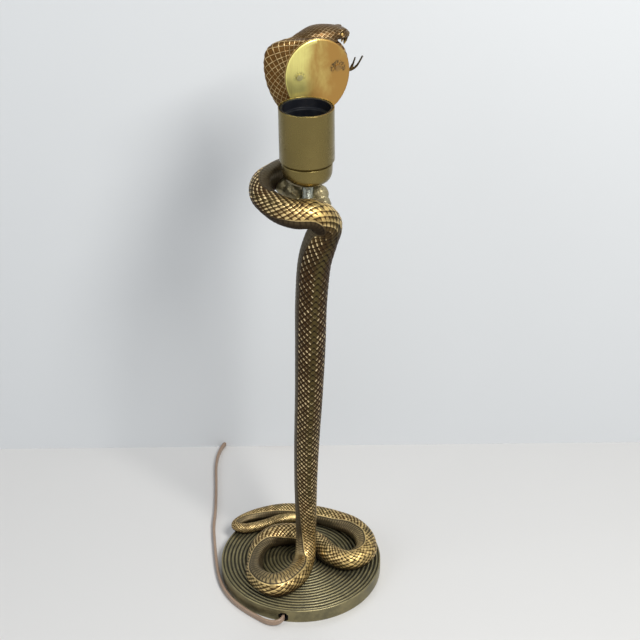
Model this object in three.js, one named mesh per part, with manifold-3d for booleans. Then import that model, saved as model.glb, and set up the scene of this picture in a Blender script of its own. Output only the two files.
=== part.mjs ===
// Bronze cobra table lamp. Millimetres, +Z up, origin under the middle of the round base.
// The snake stands on a ridged disc: its tail lies in coils, its body rises as the column,
// winds once round the lampholder's stem and spreads into a hood behind the bulb.

import * as THREE from 'three';
import { mergeVertices } from 'three/addons/utils/BufferGeometryUtils.js';
import Module from 'manifold-3d';

const wasm = await Module();
wasm.setup();

// Base disc
const BASE_RADIUS = 68;
const BASE_HEIGHT = 12.2;
const BASE_TOP_THICKNESS = 4.2;
const BASE_WALL = 5.5;
const BASE_BEVEL = 0.8;
const RIDGE_PITCH = 3.4;
const RIDGE_HEIGHT = 0.8;
const RIM_BAND = 2.4;
const FELT_THICKNESS = 1.5;
const FELT_INSET = 2.8;
const DISC_SEGMENTS = 32;

// Clearances
const GAP = 0.3;
const BORE_CLEARANCE = 0.5;

// Snake
const LOOP_HEIGHT = 337;
const BODY_SIDES = 14;
const BODY_STEP = 24;
const BODY_TURN = 24;
const BELLY_FLATNESS = 0.68;
const NECK_RADIUS = 11;
const NECK_CUT_HEIGHT = 30;
const COILS_FIT_BASE = 68;
const LEAD_RADIUS = 2;
const LEAD_HOLE_RADIUS = 5;

// Lampholder
const HOLDER_X = 10.5;
const HOLDER_Y = 0;
const HOLDER_RISE = 31.5;
const SLEEVE_RADIUS = 20;
const SLEEVE_HEIGHT = 39.7;
const SLEEVE_WALL = 0.8;
const DOME_HEIGHT = 18;
const DOME_STEP = 0.6;
const DOME_WALL = 1.2;
const COLLAR_HEIGHT = 7;
const BLOCK_HEIGHT = 11.4;
const LINER_WALL = 2.5;
const SHELL_RADIUS = 14.2;
const SHELL_WALL = 0.6;
const SHELL_HEIGHT = 20;
const TERMINAL_SPACING = 9;
const STEM_RADIUS = 4.2;
const STEM_BORE = 3.1;
const STEM_LENGTH = 26;
const STEM_THREAD = 4.5;
const NUT_WIDTH = 14;
const NUT_HEIGHT = 3.5;
const BOSS_RADIUS = 8;
const BOSS_HEIGHT = 18.5;

// Hood and head
const PLATE_CUT_RADIUS = 80;
const PLATE_CUT_DEPTH = 30;
const HOOD_TURN = 20;
const HOOD_HEIGHT = 68;
const PLATE_HALF_WIDTH = 24.2;
const PLATE_UPPER = 25.5;
const PLATE_LOWER = 30;
const PLATE_THICKNESS = 1.2;
const RIVET_RADIUS = 2.4;
const RIVET_SHANK = 1.3;
const RIVET_HEAD = 0.5;
const RIVET_DEPTH = 6;
const FANG_PLACE = 24;
const FANG_HEIGHTS = [7, 12];
const FANG_LENGTH = 5;
const TONGUE_RADIUS = 0.9;

// Fixings
const SCREW_RADIUS = 2;
const SCREW_HEAD_RADIUS = 4;
const SCREW_HEAD_HEIGHT = 2.2;
const SCREW_GRIP = 7;
const SCREW_BLIND = 2;
const WASHER_RADIUS = 5;
const WASHER_THICKNESS = 1;
const PIN_RADIUS = 2;
const PIN_LENGTH = 16;
const NIPPLE_RADIUS = 4.5;
const CLIP_LENGTH = 8;
const CLIP_WIDTH = 22;
const CLIP_STRAP = 1.4;
const CLIP_HEAD_RADIUS = 3;
const CLIP_HEAD_HEIGHT = 1.6;

// Flex, its switch and its plug
const FLEX_WIDTH = 4.8;
const FLEX_THICKNESS = 2.7;
const FLEX_HOLE_HEIGHT = 5.2;
const BUSHING_RADIUS = 3.6;
const BUSHING_FLANGE = 0.8;
const FLEX_EXIT_X = -14;
const SWITCH_LENGTH = 58;
const SWITCH_WIDTH = 24;
const SWITCH_HEIGHT = 16;
const ROCKER_LENGTH = 17;
const ROCKER_WIDTH = 9;
const ROCKER_ABOVE = 2.2;
const ROCKER_PIN = 1.25;
const ROCKER_THROW = 16;
const COIL_RADIUS = 29;
const COIL_TURNS_WIDE = 3;
const COIL_TURNS_HIGH = 3;
const PLUG_LENGTH = 35;
const PLUG_WIDTH = 26;
const PLUG_HEIGHT = 13;
const PLUG_PIN_RADIUS = 2;
const PLUG_PIN_LENGTH = 19;
const PLUG_PIN_SPACING = 18.4;
const PLUG_PIN_DEPTH = 7;

const SEAT = BASE_HEIGHT + GAP;
const CEILING = BASE_HEIGHT - BASE_TOP_THICKNESS;
const FLEX_LIFT = 0.1;
const FLEX_Z = FLEX_THICKNESS / 2 + 2 * FLEX_LIFT;

const v = (x, y, z) => new THREE.Vector3(x, y, z);

// Finishes

const finish = (color, roughness, metalness) => () =>
  new THREE.MeshStandardMaterial({ color, roughness, metalness });
const bronze = finish(0x6d5626, 0.42, 0.9);
const brass = finish(0xb08c38, 0.3, 1);
const satinBrass = finish(0x7d6c3a, 0.38, 0.9);
const steel = finish(0x8d9088, 0.35, 1);
const porcelain = finish(0xd9d5c8, 0.5, 0);
const blackResin = finish(0x151515, 0.4, 0);
const felt = finish(0x2a3326, 0.95, 0);
const flexPlastic = finish(0x9a7b66, 0.4, 0);
const brownPlastic = finish(0x3a2a20, 0.45, 0);

// Solids

// Welds shared corners, drops slivers and turns the faces outwards.
function weld(geometry) {
  const bare = geometry.index ? geometry.clone() : mergeVertices(geometry.clone());
  for (const name of Object.keys(bare.attributes)) {
    if (name !== 'position') bare.deleteAttribute(name);
  }
  const merged = mergeVertices(bare, 1e-4);
  const p = merged.attributes.position;
  const index = merged.index.array;
  const kept = [];
  let volume = 0;
  const [a, b, c] = [v(), v(), v()];
  for (let i = 0; i < index.length; i += 3) {
    const [i0, i1, i2] = [index[i], index[i + 1], index[i + 2]];
    if (i0 === i1 || i1 === i2 || i2 === i0) continue;
    kept.push(i0, i1, i2);
    volume += a.fromBufferAttribute(p, i0).dot(
      b.fromBufferAttribute(p, i1).cross(c.fromBufferAttribute(p, i2)));
  }
  if (volume < 0) kept.reverse();
  merged.setIndex(kept);
  return merged;
}

function toSolid(geometry) {
  const g = weld(geometry);
  return new wasm.Manifold(new wasm.Mesh({
    numProp: 3,
    vertProperties: new Float32Array(g.attributes.position.array),
    triVerts: new Uint32Array(g.index.array),
  }));
}

function toGeometry(solid) {
  const mesh = solid.getMesh();
  const geometry = new THREE.BufferGeometry();
  geometry.setAttribute('position', new THREE.BufferAttribute(new Float32Array(mesh.vertProperties), 3));
  geometry.setIndex([...mesh.triVerts]);
  return geometry;
}

const join = (first, ...others) =>
  toGeometry(others.reduce((sum, g) => sum.add(toSolid(g)), toSolid(first)));
const cut = (first, ...others) =>
  toGeometry(others.reduce((rest, g) => rest.subtract(toSolid(g)), toSolid(first)));

const lamp = new THREE.Group();

function add(name, geometry, material) {
  const welded = weld(geometry);
  welded.computeVertexNormals();
  const mesh = new THREE.Mesh(welded, material());
  mesh.name = name;
  lamp.add(mesh);
  return mesh;
}

// A turned solid about a vertical line through (x, y); the profile is [radius, height] pairs.
function turned(profile, x = 0, y = 0, segments = 28) {
  const points = profile.map(([r, z]) => new THREE.Vector2(r, z));
  return new THREE.LatheGeometry(points, segments).rotateX(Math.PI / 2).translate(x, y, 0);
}

const rod = (radius, z0, z1, x = 0, y = 0, segments = 20) =>
  turned([[0, z0], [radius, z0], [radius, z1], [0, z1]], x, y, segments);

const tube = (inner, outer, z0, z1, x = 0, y = 0, segments = 28) =>
  turned([[inner, z0], [outer, z0], [outer, z1], [inner, z1], [inner, z0]], x, y, segments);

// Skins a row of rings, each with as many points as the next, and closes both ends.
function skin(rings) {
  const n = rings[0].length;
  const positions = [];
  const index = [];
  rings.forEach((ring) => ring.forEach((q) => positions.push(q.x, q.y, q.z)));
  for (let i = 0; i < rings.length - 1; i++) {
    for (let j = 0; j < n; j++) {
      const k = (j + 1) % n;
      index.push(i * n + j, i * n + k, (i + 1) * n + j);
      index.push(i * n + k, (i + 1) * n + k, (i + 1) * n + j);
    }
  }
  [0, rings.length - 1].forEach((row) => {
    const middle = rings[row].reduce((sum, q) => sum.add(q), v(0, 0, 0)).divideScalar(n);
    const tip = positions.length / 3;
    positions.push(middle.x, middle.y, middle.z);
    for (let j = 0; j < n; j++) {
      const k = (j + 1) % n;
      if (row === 0) index.push(row * n + k, row * n + j, tip);
      else index.push(row * n + j, row * n + k, tip);
    }
  });
  const geometry = new THREE.BufferGeometry();
  geometry.setAttribute('position', new THREE.Float32BufferAttribute(positions, 3));
  geometry.setIndex(index);
  return geometry;
}

// A round rod along a list of points, as an extruded polygon.
function bentRod(points, radius, sides = 8, steps = 24, flat = 1) {
  const outline = new THREE.Shape();
  for (let i = 0; i < sides; i++) {
    const a = ((i + 0.5) / sides) * 2 * Math.PI;
    outline[i ? 'lineTo' : 'moveTo'](radius * flat * Math.cos(a), radius * Math.sin(a));
  }
  outline.closePath();
  const path = new THREE.CatmullRomCurve3(points, false, 'centripetal');
  return new THREE.ExtrudeGeometry(outline, { steps, bevelEnabled: false, extrudePath: path });
}

// The snake's body

// Each station: place of the body's axis, half width, and where the scaled back faces.
// Heights in the lower coils count from the seat on the base, those of the column are shares
// of its height, and those of the upper loop count from the top of the column.
const station = (x, y, z, radius, back) => ({ at: v(x, y, z), radius, back: v(...back).normalize() });
const columnTop = SEAT + LOOP_HEIGHT - 28.6;
const columnFoot = SEAT + 50;
const columnAt = (share) => columnFoot + (columnTop - columnFoot) * share;
const spread = BASE_RADIUS / COILS_FIT_BASE;
const lying = (x, y, radius, back, lift = 0) =>
  station(x * spread, y * spread, SEAT + radius * 0.9 + lift, radius, back);

const columnStations = [
  station(19.9, -10, columnTop, 12.6, [0.55, -0.8, 0.1]),
  station(15.3, -9, columnAt(0.93), 12.4, [0.45, -0.9, 0]),
  station(12.3, -8, columnAt(0.8), 12.1, [0.4, -0.92, 0]),
  station(11, -7, columnAt(0.64), 11.8, [0.4, -0.92, 0]),
  station(9.2, -6, columnAt(0.46), 11, [0.4, -0.92, 0]),
  station(7, -5, columnAt(0.29), 10.2, [0.45, -0.9, 0]),
  station(5.6, -4.5, columnAt(0.13), 9.4, [0.5, -0.87, 0]),
  station(5.1, -4, columnFoot, 8.7, [0.6, -0.8, 0]),
  station(4.4, -4.6, SEAT + 24.5, 8.4, [0.85, -0.5, 0.1]),
  lying(2.2, -13, 8.7, [0.95, -0.3, 0.05], 1.5),
  lying(-6.2, -33.8, 9.1, [0.7, -0.7, 0.1]),
  lying(-20.9, -47.2, 9.3, [0.1, -1, 0.1]),
  lying(-36.1, -35.9, 8.7, [-0.85, -0.5, 0.1]),
  lying(-40.6, -14.5, 8.4, [-1, 0.1, 0.1]),
  lying(-36.8, 8.8, 7.8, [-0.85, 0.5, 0.25]),
  lying(-22.5, 23.1, 7.5, [-0.35, 0.9, 0.4]),
  lying(-3.5, 24.9, 7.5, [0.35, 0.9, 0.3]),
  lying(13, 11.2, 7.7, [0, 0.2, 1]),
  lying(26.6, -7.3, 8.1, [-0.7, -0.75, 0.35]),
];

const tailStations = [
  columnStations[columnStations.length - 1],
  lying(41.7, -14, 8.3, [0.1, -1, 0.3]),
  lying(55.6, -1.3, 8.1, [0.9, -0.5, 0.3]),
  lying(57.3, 20.4, 7.8, [0.95, 0.3, 0.3]),
  lying(46.5, 38.3, 7.4, [0.6, 0.8, 0.3]),
  lying(29, 47.5, 7, [0.35, 0.95, 0.3]),
  lying(8.7, 53.5, 6.5, [0.15, 1, 0.3]),
  lying(-14.4, 54.5, 5.7, [0, 1, 0.3]),
  lying(-36.5, 49.9, 5, [-0.3, 0.95, 0.3]),
  lying(-52.2, 43.8, 4.2, [-0.7, 0.7, 0.3]),
];

const tailTipStations = [
  tailStations[tailStations.length - 1],
  lying(-57.2, 37, 4, [-1, -0.2, 0.3]),
  lying(-50, 32.8, 3.9, [0.2, -1, 0.3]),
  lying(-34.4, 37, 4, [0.3, -1, 0.3]),
  lying(-18.7, 43, 4.4, [0.2, -0.8, 0.6]),
  lying(-3, 48, 4.2, [0.2, -0.5, 0.8]),
];

const neckBack = HOLDER_Y + SLEEVE_RADIUS + BELLY_FLATNESS * NECK_RADIUS + 6;
const loopAt = (dz) => SEAT + LOOP_HEIGHT + dz;
const neckStations = [
  columnStations[0],
  station(23.8, -13, loopAt(-14), 11.6, [0.85, -0.6, 0.1]),
  station(15.1, -18.5, loopAt(-2.3), 10.6, [0.25, -0.85, 0.45]),
  station(2.2, -20.5, loopAt(0), 10.2, [-0.1, -0.85, 0.5]),
  station(-11.4, -17.5, loopAt(3.1), 9.6, [-0.4, -0.8, 0.4]),
  station(-22.3, -8, loopAt(6.8), 8.8, [-0.85, -0.4, 0.3]),
  station(-21.9, 6, loopAt(10.4), 9.1, [-0.95, 0.3, 0.1]),
  station(-11.6, 19.5, loopAt(11), 10, [-0.6, 0.8, -0.1]),
  station(0.5, neckBack - 3.6, loopAt(13), 10.4, [-0.1, 1, -0.3]),
  station(8.8, neckBack, loopAt(26.5), NECK_RADIUS, [0.1, 1, -0.1]),
  station(11.6, neckBack + 0.8, loopAt(44), NECK_RADIUS * 1.09, [-0.2, 0.97, 0]),
  station(11.6, neckBack + 0.8, loopAt(52), NECK_RADIUS * 1.15, [-0.3, 0.95, 0]),
];
const neckPlace = neckStations[neckStations.length - 2].at;
const neckTop = neckPlace.z;

// Section of the body: a round scaled back over a flattened belly. side is +1 to the right.
function bodyOutline() {
  const outline = [];
  for (let i = 0; i < BODY_SIDES; i++) {
    const a = (i / BODY_SIDES) * 2 * Math.PI;
    const [c, s] = [Math.cos(a), Math.sin(a)];
    const belly = s < 0;
    outline.push(belly
      ? [Math.sign(c) * Math.abs(c) ** 0.75, -BELLY_FLATNESS * Math.abs(s) ** 0.5]
      : [c, s]);
  }
  return outline;
}

// The whole run from the hood to the tail. A place on it is counted in stations, so 2.5 is
// halfway from the third station to the fourth.
const snake = [...neckStations.slice().reverse(), ...columnStations.slice(1), ...tailStations.slice(1)];
const columnStart = neckStations.length - 1;
const tailStart = columnStart + columnStations.length - 1;
const snakeEnd = snake.length - 1;

function curvesOf(stations) {
  const last = stations.length - 1;
  const places = new THREE.CatmullRomCurve3(stations.map((s) => s.at), false, 'centripetal');
  const backs = new THREE.CatmullRomCurve3(stations.map((s) => s.back), false, 'catmullrom', 0.4);
  const radii = new THREE.CatmullRomCurve3(stations.map((s) => v(s.radius, 0, 0)), false, 'catmullrom', 0.4);
  return {
    at: (k) => places.getPoint(k / last),
    tangent: (k) => places.getTangent(k / last),
    back: (k) => backs.getPoint(k / last),
    radius: (k) => radii.getPoint(k / last).x,
  };
}
const snakeCurves = curvesOf(snake);

// Moves a place along the run by a length in millimetres.
function along(curves, k, length) {
  const step = 0.01;
  const speed = curves.at(k).distanceTo(curves.at(k + (length > 0 ? step : -step))) / step;
  return k + length / speed;
}

// Where rings are wanted between two places: closer together where the run bends.
function ringPlaces(curves, from, to) {
  const samples = Math.ceil((to - from) * 24);
  const kept = [from];
  let used = 0;
  let last = { at: curves.at(from), tangent: curves.tangent(from) };
  for (let i = 1; i <= samples; i++) {
    const k = from + ((to - from) * i) / samples;
    const now = { at: curves.at(k), tangent: curves.tangent(k) };
    used += last.at.distanceTo(now.at) / BODY_STEP
      + THREE.MathUtils.radToDeg(last.tangent.angleTo(now.tangent)) / BODY_TURN;
    last = now;
    if (used >= 1 && i < samples) {
      kept.push(k);
      used = 0;
    }
  }
  return [...kept, to];
}

// Sweeps the body's section from one place to another. Where seated, the underside is
// flattened on the base.
function body(curves, from, to, seated = false) {
  const outline = bodyOutline();
  return skin(ringPlaces(curves, from, to).map((k) => {
    const tangent = curves.tangent(k);
    const side = v().crossVectors(tangent, curves.back(k)).normalize();
    const back = v().crossVectors(side, tangent);
    const centre = curves.at(k);
    const radius = curves.radius(k);
    return outline.map(([across, out]) => {
      const q = centre.clone().addScaledVector(side, across * radius).addScaledVector(back, out * radius);
      if (seated) q.z = Math.max(q.z, SEAT);
      return q;
    });
  }));
}

// Base

function ridgedDisc() {
  const outer = BASE_RADIUS;
  const inner = BASE_RADIUS - BASE_WALL;
  const feltRadius = BASE_RADIUS - FELT_INSET + GAP;
  const ledge = FELT_THICKNESS + GAP;
  const profile = [[0, CEILING], [inner, CEILING], [inner, ledge], [feltRadius, ledge],
    [feltRadius, 0], [outer, 0], [outer, BASE_HEIGHT - BASE_BEVEL], [outer - BASE_BEVEL, BASE_HEIGHT]];
  const ridges = Math.floor((BASE_RADIUS - RIM_BAND) / RIDGE_PITCH);
  for (let i = 0; i < ridges; i++) {
    const crest = BASE_RADIUS - RIM_BAND - i * RIDGE_PITCH;
    profile.push([crest, BASE_HEIGHT], [crest - RIDGE_PITCH / 2, BASE_HEIGHT - RIDGE_HEIGHT]);
  }
  profile.push([0, BASE_HEIGHT - RIDGE_HEIGHT]);
  return turned(profile, 0, 0, DISC_SEGMENTS);
}

const leadHole = columnStations[9].at.clone().setZ(0);
const flexExit = v(FLEX_EXIT_X, -Math.sqrt(BASE_RADIUS ** 2 - FLEX_EXIT_X ** 2), FLEX_HOLE_HEIGHT);
const fixingStations = [
  ['front_loop', columnStations[11]],
  ['left_loop', columnStations[14]],
  ['right_loop', tailStations[1]],
  ['rear_loop', tailStations[5]],
];
const fixings = fixingStations.map(([name, s]) => ({ name, x: s.at.x, y: s.at.y }));

// A cylinder along the flex's way through the rim, from radius r0 to r1 off the base's axis.
function radialRod(radius, r0, r1, segments = 20) {
  const outward = v(flexExit.x, flexExit.y, 0).normalize();
  const length = r1 - r0;
  const middle = outward.clone().multiplyScalar((r0 + r1) / 2).setZ(FLEX_HOLE_HEIGHT);
  const turn = new THREE.Quaternion().setFromUnitVectors(v(0, 1, 0), outward);
  return new THREE.CylinderGeometry(radius, radius, length, segments).applyQuaternion(turn)
    .translate(middle.x, middle.y, middle.z);
}

function buildBase() {
  const top = BASE_HEIGHT + 1;
  const bottom = CEILING - 1;
  const holes = fixings.map((f) => rod(SCREW_RADIUS + BORE_CLEARANCE, bottom, top, f.x, f.y, 12));
  holes.push(rod(LEAD_HOLE_RADIUS, bottom, top, leadHole.x, leadHole.y, 16));
  holes.push(radialRod(BUSHING_RADIUS, BASE_RADIUS - BASE_WALL - 2, BASE_RADIUS + 2));
  holes.push(rod(SCREW_RADIUS, bottom, BASE_HEIGHT - SCREW_BLIND, clipScrewAt.x, clipScrewAt.y, 12));
  add('base_disc', cut(ridgedDisc(), ...holes), bronze);
  add('base_felt', rod(BASE_RADIUS - FELT_INSET, 0, FELT_THICKNESS, 0, 0, DISC_SEGMENTS), felt);
  fixings.forEach((f) => {
    const washerTop = CEILING - GAP;
    const headTop = washerTop - WASHER_THICKNESS - GAP;
    const hole = SCREW_RADIUS + BORE_CLEARANCE;
    const washer = tube(hole, WASHER_RADIUS, washerTop - WASHER_THICKNESS, washerTop, f.x, f.y, 12);
    add(`${f.name}_washer`, washer, steel);
    const headBottom = headTop - SCREW_HEAD_HEIGHT;
    const screw = turned([[0, headBottom], [SCREW_HEAD_RADIUS, headBottom], [SCREW_HEAD_RADIUS, headTop],
      [SCREW_RADIUS, headTop], [SCREW_RADIUS, SEAT + SCREW_GRIP], [0, SEAT + SCREW_GRIP]], f.x, f.y, 12);
    add(`${f.name}_screw`, screw, steel);
  });
}

const fixingHoles = (wanted) => fixings.filter((f) => wanted.includes(f.name))
  .map((f) => rod(SCREW_RADIUS + GAP, SEAT - 1, SEAT + SCREW_GRIP + GAP, f.x, f.y, 12));

// The mains lead's hidden way: in through the rim, across under the disc, up the column's
// bore, through the boss and the stem to the contact block.

const bossTop = loopAt(-0.5);
const stemBottom = bossTop - STEM_THREAD;
const holderBottom = loopAt(HOLDER_RISE) - DOME_HEIGHT;
const stemTop = stemBottom + STEM_LENGTH;
const seam = loopAt(HOLDER_RISE);
const rim = seam + SLEEVE_HEIGHT;
const blockBottom = seam + COLLAR_HEIGHT - GAP - BLOCK_HEIGHT;
const leadZ = CEILING - LEAD_RADIUS - GAP;
const inward = v(-flexExit.x, -flexExit.y, 0).normalize();
const leadStart = flexExit.clone().addScaledVector(inward, BASE_WALL + 4 * BUSHING_FLANGE);
const leadPoints = [
  leadStart.clone().setZ(FLEX_HOLE_HEIGHT),
  leadStart.clone().lerp(leadHole, 0.35).setZ(leadZ),
  leadStart.clone().lerp(leadHole, 0.65).setZ(leadZ),
  leadStart.clone().lerp(leadHole, 0.8).setZ(leadZ),
  leadStart.clone().lerp(leadHole, 0.92).setZ(leadZ),
  v(leadHole.x, leadHole.y, CEILING + 1),
  v(leadHole.x, leadHole.y, BASE_HEIGHT + 3),
  v(3.9, -7, SEAT + 22),
  ...columnStations.slice(0, 8).reverse().map((s) => s.at.clone()),
  v(18.3, -7, bossTop - 20),
  v(14.5, -3.2, bossTop - 14),
  v(HOLDER_X, HOLDER_Y, stemBottom - 5),
  v(HOLDER_X, HOLDER_Y, stemBottom + 3),
  v(HOLDER_X, HOLDER_Y, stemTop),
  v(HOLDER_X, HOLDER_Y, blockBottom - GAP),
];
const leadSteps = 62;
const leadBore = () => bentRod(leadPoints, LEAD_RADIUS + 2 * BORE_CLEARANCE, 8, leadSteps);

// Clip that holds the lead up under the disc, and its countersunk screw beside the lead.
const clipAlong = leadHole.clone().sub(leadStart).setZ(0).normalize();
const clipAt = leadPoints[1].clone().lerp(leadPoints[2], 0.6);
const clipTop = CEILING - GAP;
const clipBottom = leadZ - LEAD_RADIUS - GAP - CLIP_STRAP;
const clipScrewOffset = (CLIP_WIDTH / 2 + LEAD_RADIUS + GAP) / 2;
const clipScrewAt = clipAt.clone().addScaledVector(v(-clipAlong.y, clipAlong.x, 0), clipScrewOffset);
const clipScrewTop = BASE_HEIGHT - SCREW_BLIND - GAP;

function buildLead() {
  add('mains_lead', bentRod(leadPoints, LEAD_RADIUS, 8, leadSteps), flexPlastic);
  const turn = Math.atan2(clipAlong.y, clipAlong.x);
  const block = new THREE.BoxGeometry(CLIP_LENGTH, CLIP_WIDTH, clipTop - clipBottom).rotateZ(turn)
    .translate(clipAt.x, clipAt.y, (clipTop + clipBottom) / 2);
  const channelBottom = clipBottom + CLIP_STRAP;
  const channelWidth = 2 * (LEAD_RADIUS + GAP);
  const channel = new THREE.BoxGeometry(CLIP_LENGTH + 2, channelWidth, BASE_HEIGHT - channelBottom)
    .rotateZ(turn).translate(clipAt.x, clipAt.y, (BASE_HEIGHT + channelBottom) / 2);
  const hole = rod(SCREW_RADIUS, clipBottom - 1, CEILING, clipScrewAt.x, clipScrewAt.y, 12);
  const recess = rod(CLIP_HEAD_RADIUS + GAP, clipBottom - 1, clipBottom + CLIP_HEAD_HEIGHT + GAP,
    clipScrewAt.x, clipScrewAt.y, 12);
  add('cord_clip', cut(block, channel, hole, recess), brownPlastic);
  const shank = SCREW_RADIUS - GAP;
  add('cord_clip_screw', turned([[0, clipBottom], [CLIP_HEAD_RADIUS, clipBottom],
    [CLIP_HEAD_RADIUS, clipBottom + CLIP_HEAD_HEIGHT], [shank, clipBottom + CLIP_HEAD_HEIGHT],
    [shank, clipScrewTop], [0, clipScrewTop]], clipScrewAt.x, clipScrewAt.y, 12), steel);
}

// Castings of the snake

// A pin that holds two castings together across a joint, or the hole for it.
function jointPin(k, radius, length) {
  const at = snakeCurves.at(k);
  const turn = new THREE.Quaternion().setFromUnitVectors(v(0, 1, 0), snakeCurves.tangent(k));
  return new THREE.CylinderGeometry(radius, radius, length, 12).applyQuaternion(turn)
    .translate(at.x, at.y, at.z);
}
const jointHole = (k, radius) => jointPin(k, radius + GAP, PIN_LENGTH + 2 * GAP);

function buildColumn() {
  const from = along(snakeCurves, columnStart, GAP / 2);
  const to = along(snakeCurves, tailStart, -GAP / 2);
  const casting = cut(body(snakeCurves, from, to, true), leadBore(), jointHole(columnStart, NIPPLE_RADIUS),
    jointHole(tailStart, PIN_RADIUS), ...fixingHoles(['front_loop', 'left_loop']));
  add('column_casting', casting, bronze);
  add('column_nipple', cut(jointPin(columnStart, NIPPLE_RADIUS, PIN_LENGTH), leadBore()), steel);
  add('tail_pin', jointPin(tailStart, PIN_RADIUS, PIN_LENGTH), steel);
}

function buildTail() {
  const from = along(snakeCurves, tailStart, GAP / 2);
  const coil = join(body(snakeCurves, from, snakeEnd, true),
    body(curvesOf(tailTipStations), 0, tailTipStations.length - 1, true));
  const holes = [jointHole(tailStart, PIN_RADIUS), ...fixingHoles(['right_loop', 'rear_loop'])];
  add('tail_casting', cut(coil, ...holes), bronze);
}

// An egg-shaped lump of the casting.
const lump = (x, y, z, rx, ry, rz) =>
  new THREE.SphereGeometry(1, 10, 7).scale(rx, ry, rz).translate(x, y, z);

function buildNeck() {
  const bossBottom = bossTop - BOSS_HEIGHT;
  const boss = turned([[0, bossBottom], [BOSS_RADIUS - 1.6, bossBottom], [BOSS_RADIUS, bossBottom + 4],
    [BOSS_RADIUS, bossTop - 1], [BOSS_RADIUS - 1, bossTop], [0, bossTop]], HOLDER_X, HOLDER_Y, 16);
  const lobes = [
    lump(HOLDER_X - 10.5, HOLDER_Y + 7.5, loopAt(1), 5.6, 5.5, 6.6),
    lump(HOLDER_X - 17, HOLDER_Y + 13, loopAt(4), 7, 7, 5.5),
    lump(HOLDER_X + 7.5, HOLDER_Y + 6, loopAt(0), 5.6, 5.5, 6.8),
    lump(HOLDER_X + 11, HOLDER_Y + 2, loopAt(-6), 5, 6.5, 6.5),
    lump(HOLDER_X - 2, HOLDER_Y + 7, loopAt(-5), 9.5, 4.5, 5),
  ];
  const sweep = body(snakeCurves, 0, along(snakeCurves, columnStart, -GAP / 2));
  const stemHole = rod(STEM_RADIUS + GAP, stemBottom - GAP, holderBottom, HOLDER_X, HOLDER_Y, 16);
  const aboveNeck = rod(SLEEVE_RADIUS * 2, neckTop, neckTop + NECK_CUT_HEIGHT, HOLDER_X, neckBack, 8);
  const tools = [stemHole, aboveNeck, leadBore(), jointHole(columnStart, NIPPLE_RADIUS), neckPin(GAP)];
  add('neck_casting', cut(join(sweep, boss, ...lobes), ...tools), bronze);
  add('neck_pin', neckPin(0), steel);
}

// Upright pin in the middle of the neck's flat top, and with a clearance its hole.
function neckPin(clearance) {
  const half = PIN_LENGTH / 2 + clearance;
  return rod(PIN_RADIUS + 1 + clearance, neckTop - half, neckTop + half, neckPlace.x, neckPlace.y, 12);
}

// Hood and head

// The hood's own frame: u runs along the polished plate to the right, w into the hood.
const hoodAngle = THREE.MathUtils.degToRad(HOOD_TURN);
const hoodFront = neckBack - BELLY_FLATNESS * NECK_RADIUS + 1.9;
const hoodOrigin = v(HOLDER_X + 8, hoodFront, 0);
const inHood = (u, w, z) => v(
  hoodOrigin.x + u * Math.cos(hoodAngle) - w * Math.sin(hoodAngle),
  hoodOrigin.y + u * Math.sin(hoodAngle) + w * Math.cos(hoodAngle), z);
const plateCentre = neckTop + 41.5;

// Outline of the hood at one height: flat in front from -left to right, round behind.
function hoodRing({ z, left, right, bulge, depth }) {
  const back = -0.15 * left;
  const half = new THREE.Path();
  half.moveTo(right, 0);
  half.bezierCurveTo(right + 2.5, depth * 0.62, back + right * 0.75, depth, back, depth);
  half.bezierCurveTo(back - bulge * 0.62, depth, -bulge * 1.16, depth * 0.52, -left, 0);
  const ring = half.getSpacedPoints(18).map((q) => inHood(q.x, q.y, z));
  const front = 6;
  for (let i = 1; i < front; i++) ring.push(inHood(-left + ((left + right) * i) / front, 0, z));
  return ring;
}

const hoodAt = (share) => neckTop + HOOD_HEIGHT * share;
const hoodRows = [
  { z: hoodAt(0.004), left: 13.5, right: 4.5, bulge: 16.5, depth: 17 },
  { z: hoodAt(0.12), left: 16, right: 8.5, bulge: 21.5, depth: 18 },
  { z: hoodAt(0.23), left: 18.8, right: 13.5, bulge: 27.5, depth: 19.5 },
  { z: hoodAt(0.35), left: 21.5, right: 19, bulge: 32.5, depth: 21 },
  { z: hoodAt(0.48), left: 23.6, right: 23, bulge: 36, depth: 22 },
  { z: hoodAt(0.62), left: 24.4, right: 24.3, bulge: 38, depth: 22 },
  { z: hoodAt(0.75), left: 24, right: 23.6, bulge: 38, depth: 21 },
  { z: hoodAt(0.86), left: 22.5, right: 20.5, bulge: 35, depth: 18.5 },
  { z: hoodAt(0.94), left: 19, right: 15.5, bulge: 30, depth: 15 },
  { z: hoodAt(0.99), left: 13, right: 9, bulge: 20, depth: 11 },
];

// A tapering form with egg-shaped sections: rows of [point, half width, half height].
function horn(rows, sides = 14, steps = 4) {
  const path = new THREE.CatmullRomCurve3(rows.map((r) => r[0]));
  const sizes = new THREE.CatmullRomCurve3(rows.map((r) => v(r[1], r[2], 0)));
  const count = (rows.length - 1) * steps;
  const rings = [];
  for (let i = 0; i <= count; i++) {
    const tangent = path.getTangent(i / count);
    const side = v().crossVectors(tangent, v(0, 0, 1)).normalize();
    const up = v().crossVectors(side, tangent);
    const size = sizes.getPoint(i / count);
    const centre = path.getPoint(i / count);
    rings.push(Array.from({ length: sides }, (_, j) => {
      const a = (j / sides) * 2 * Math.PI;
      return centre.clone().addScaledVector(side, size.x * Math.cos(a))
        .addScaledVector(up, size.y * Math.sin(a));
    }));
  }
  return skin(rings);
}

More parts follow.
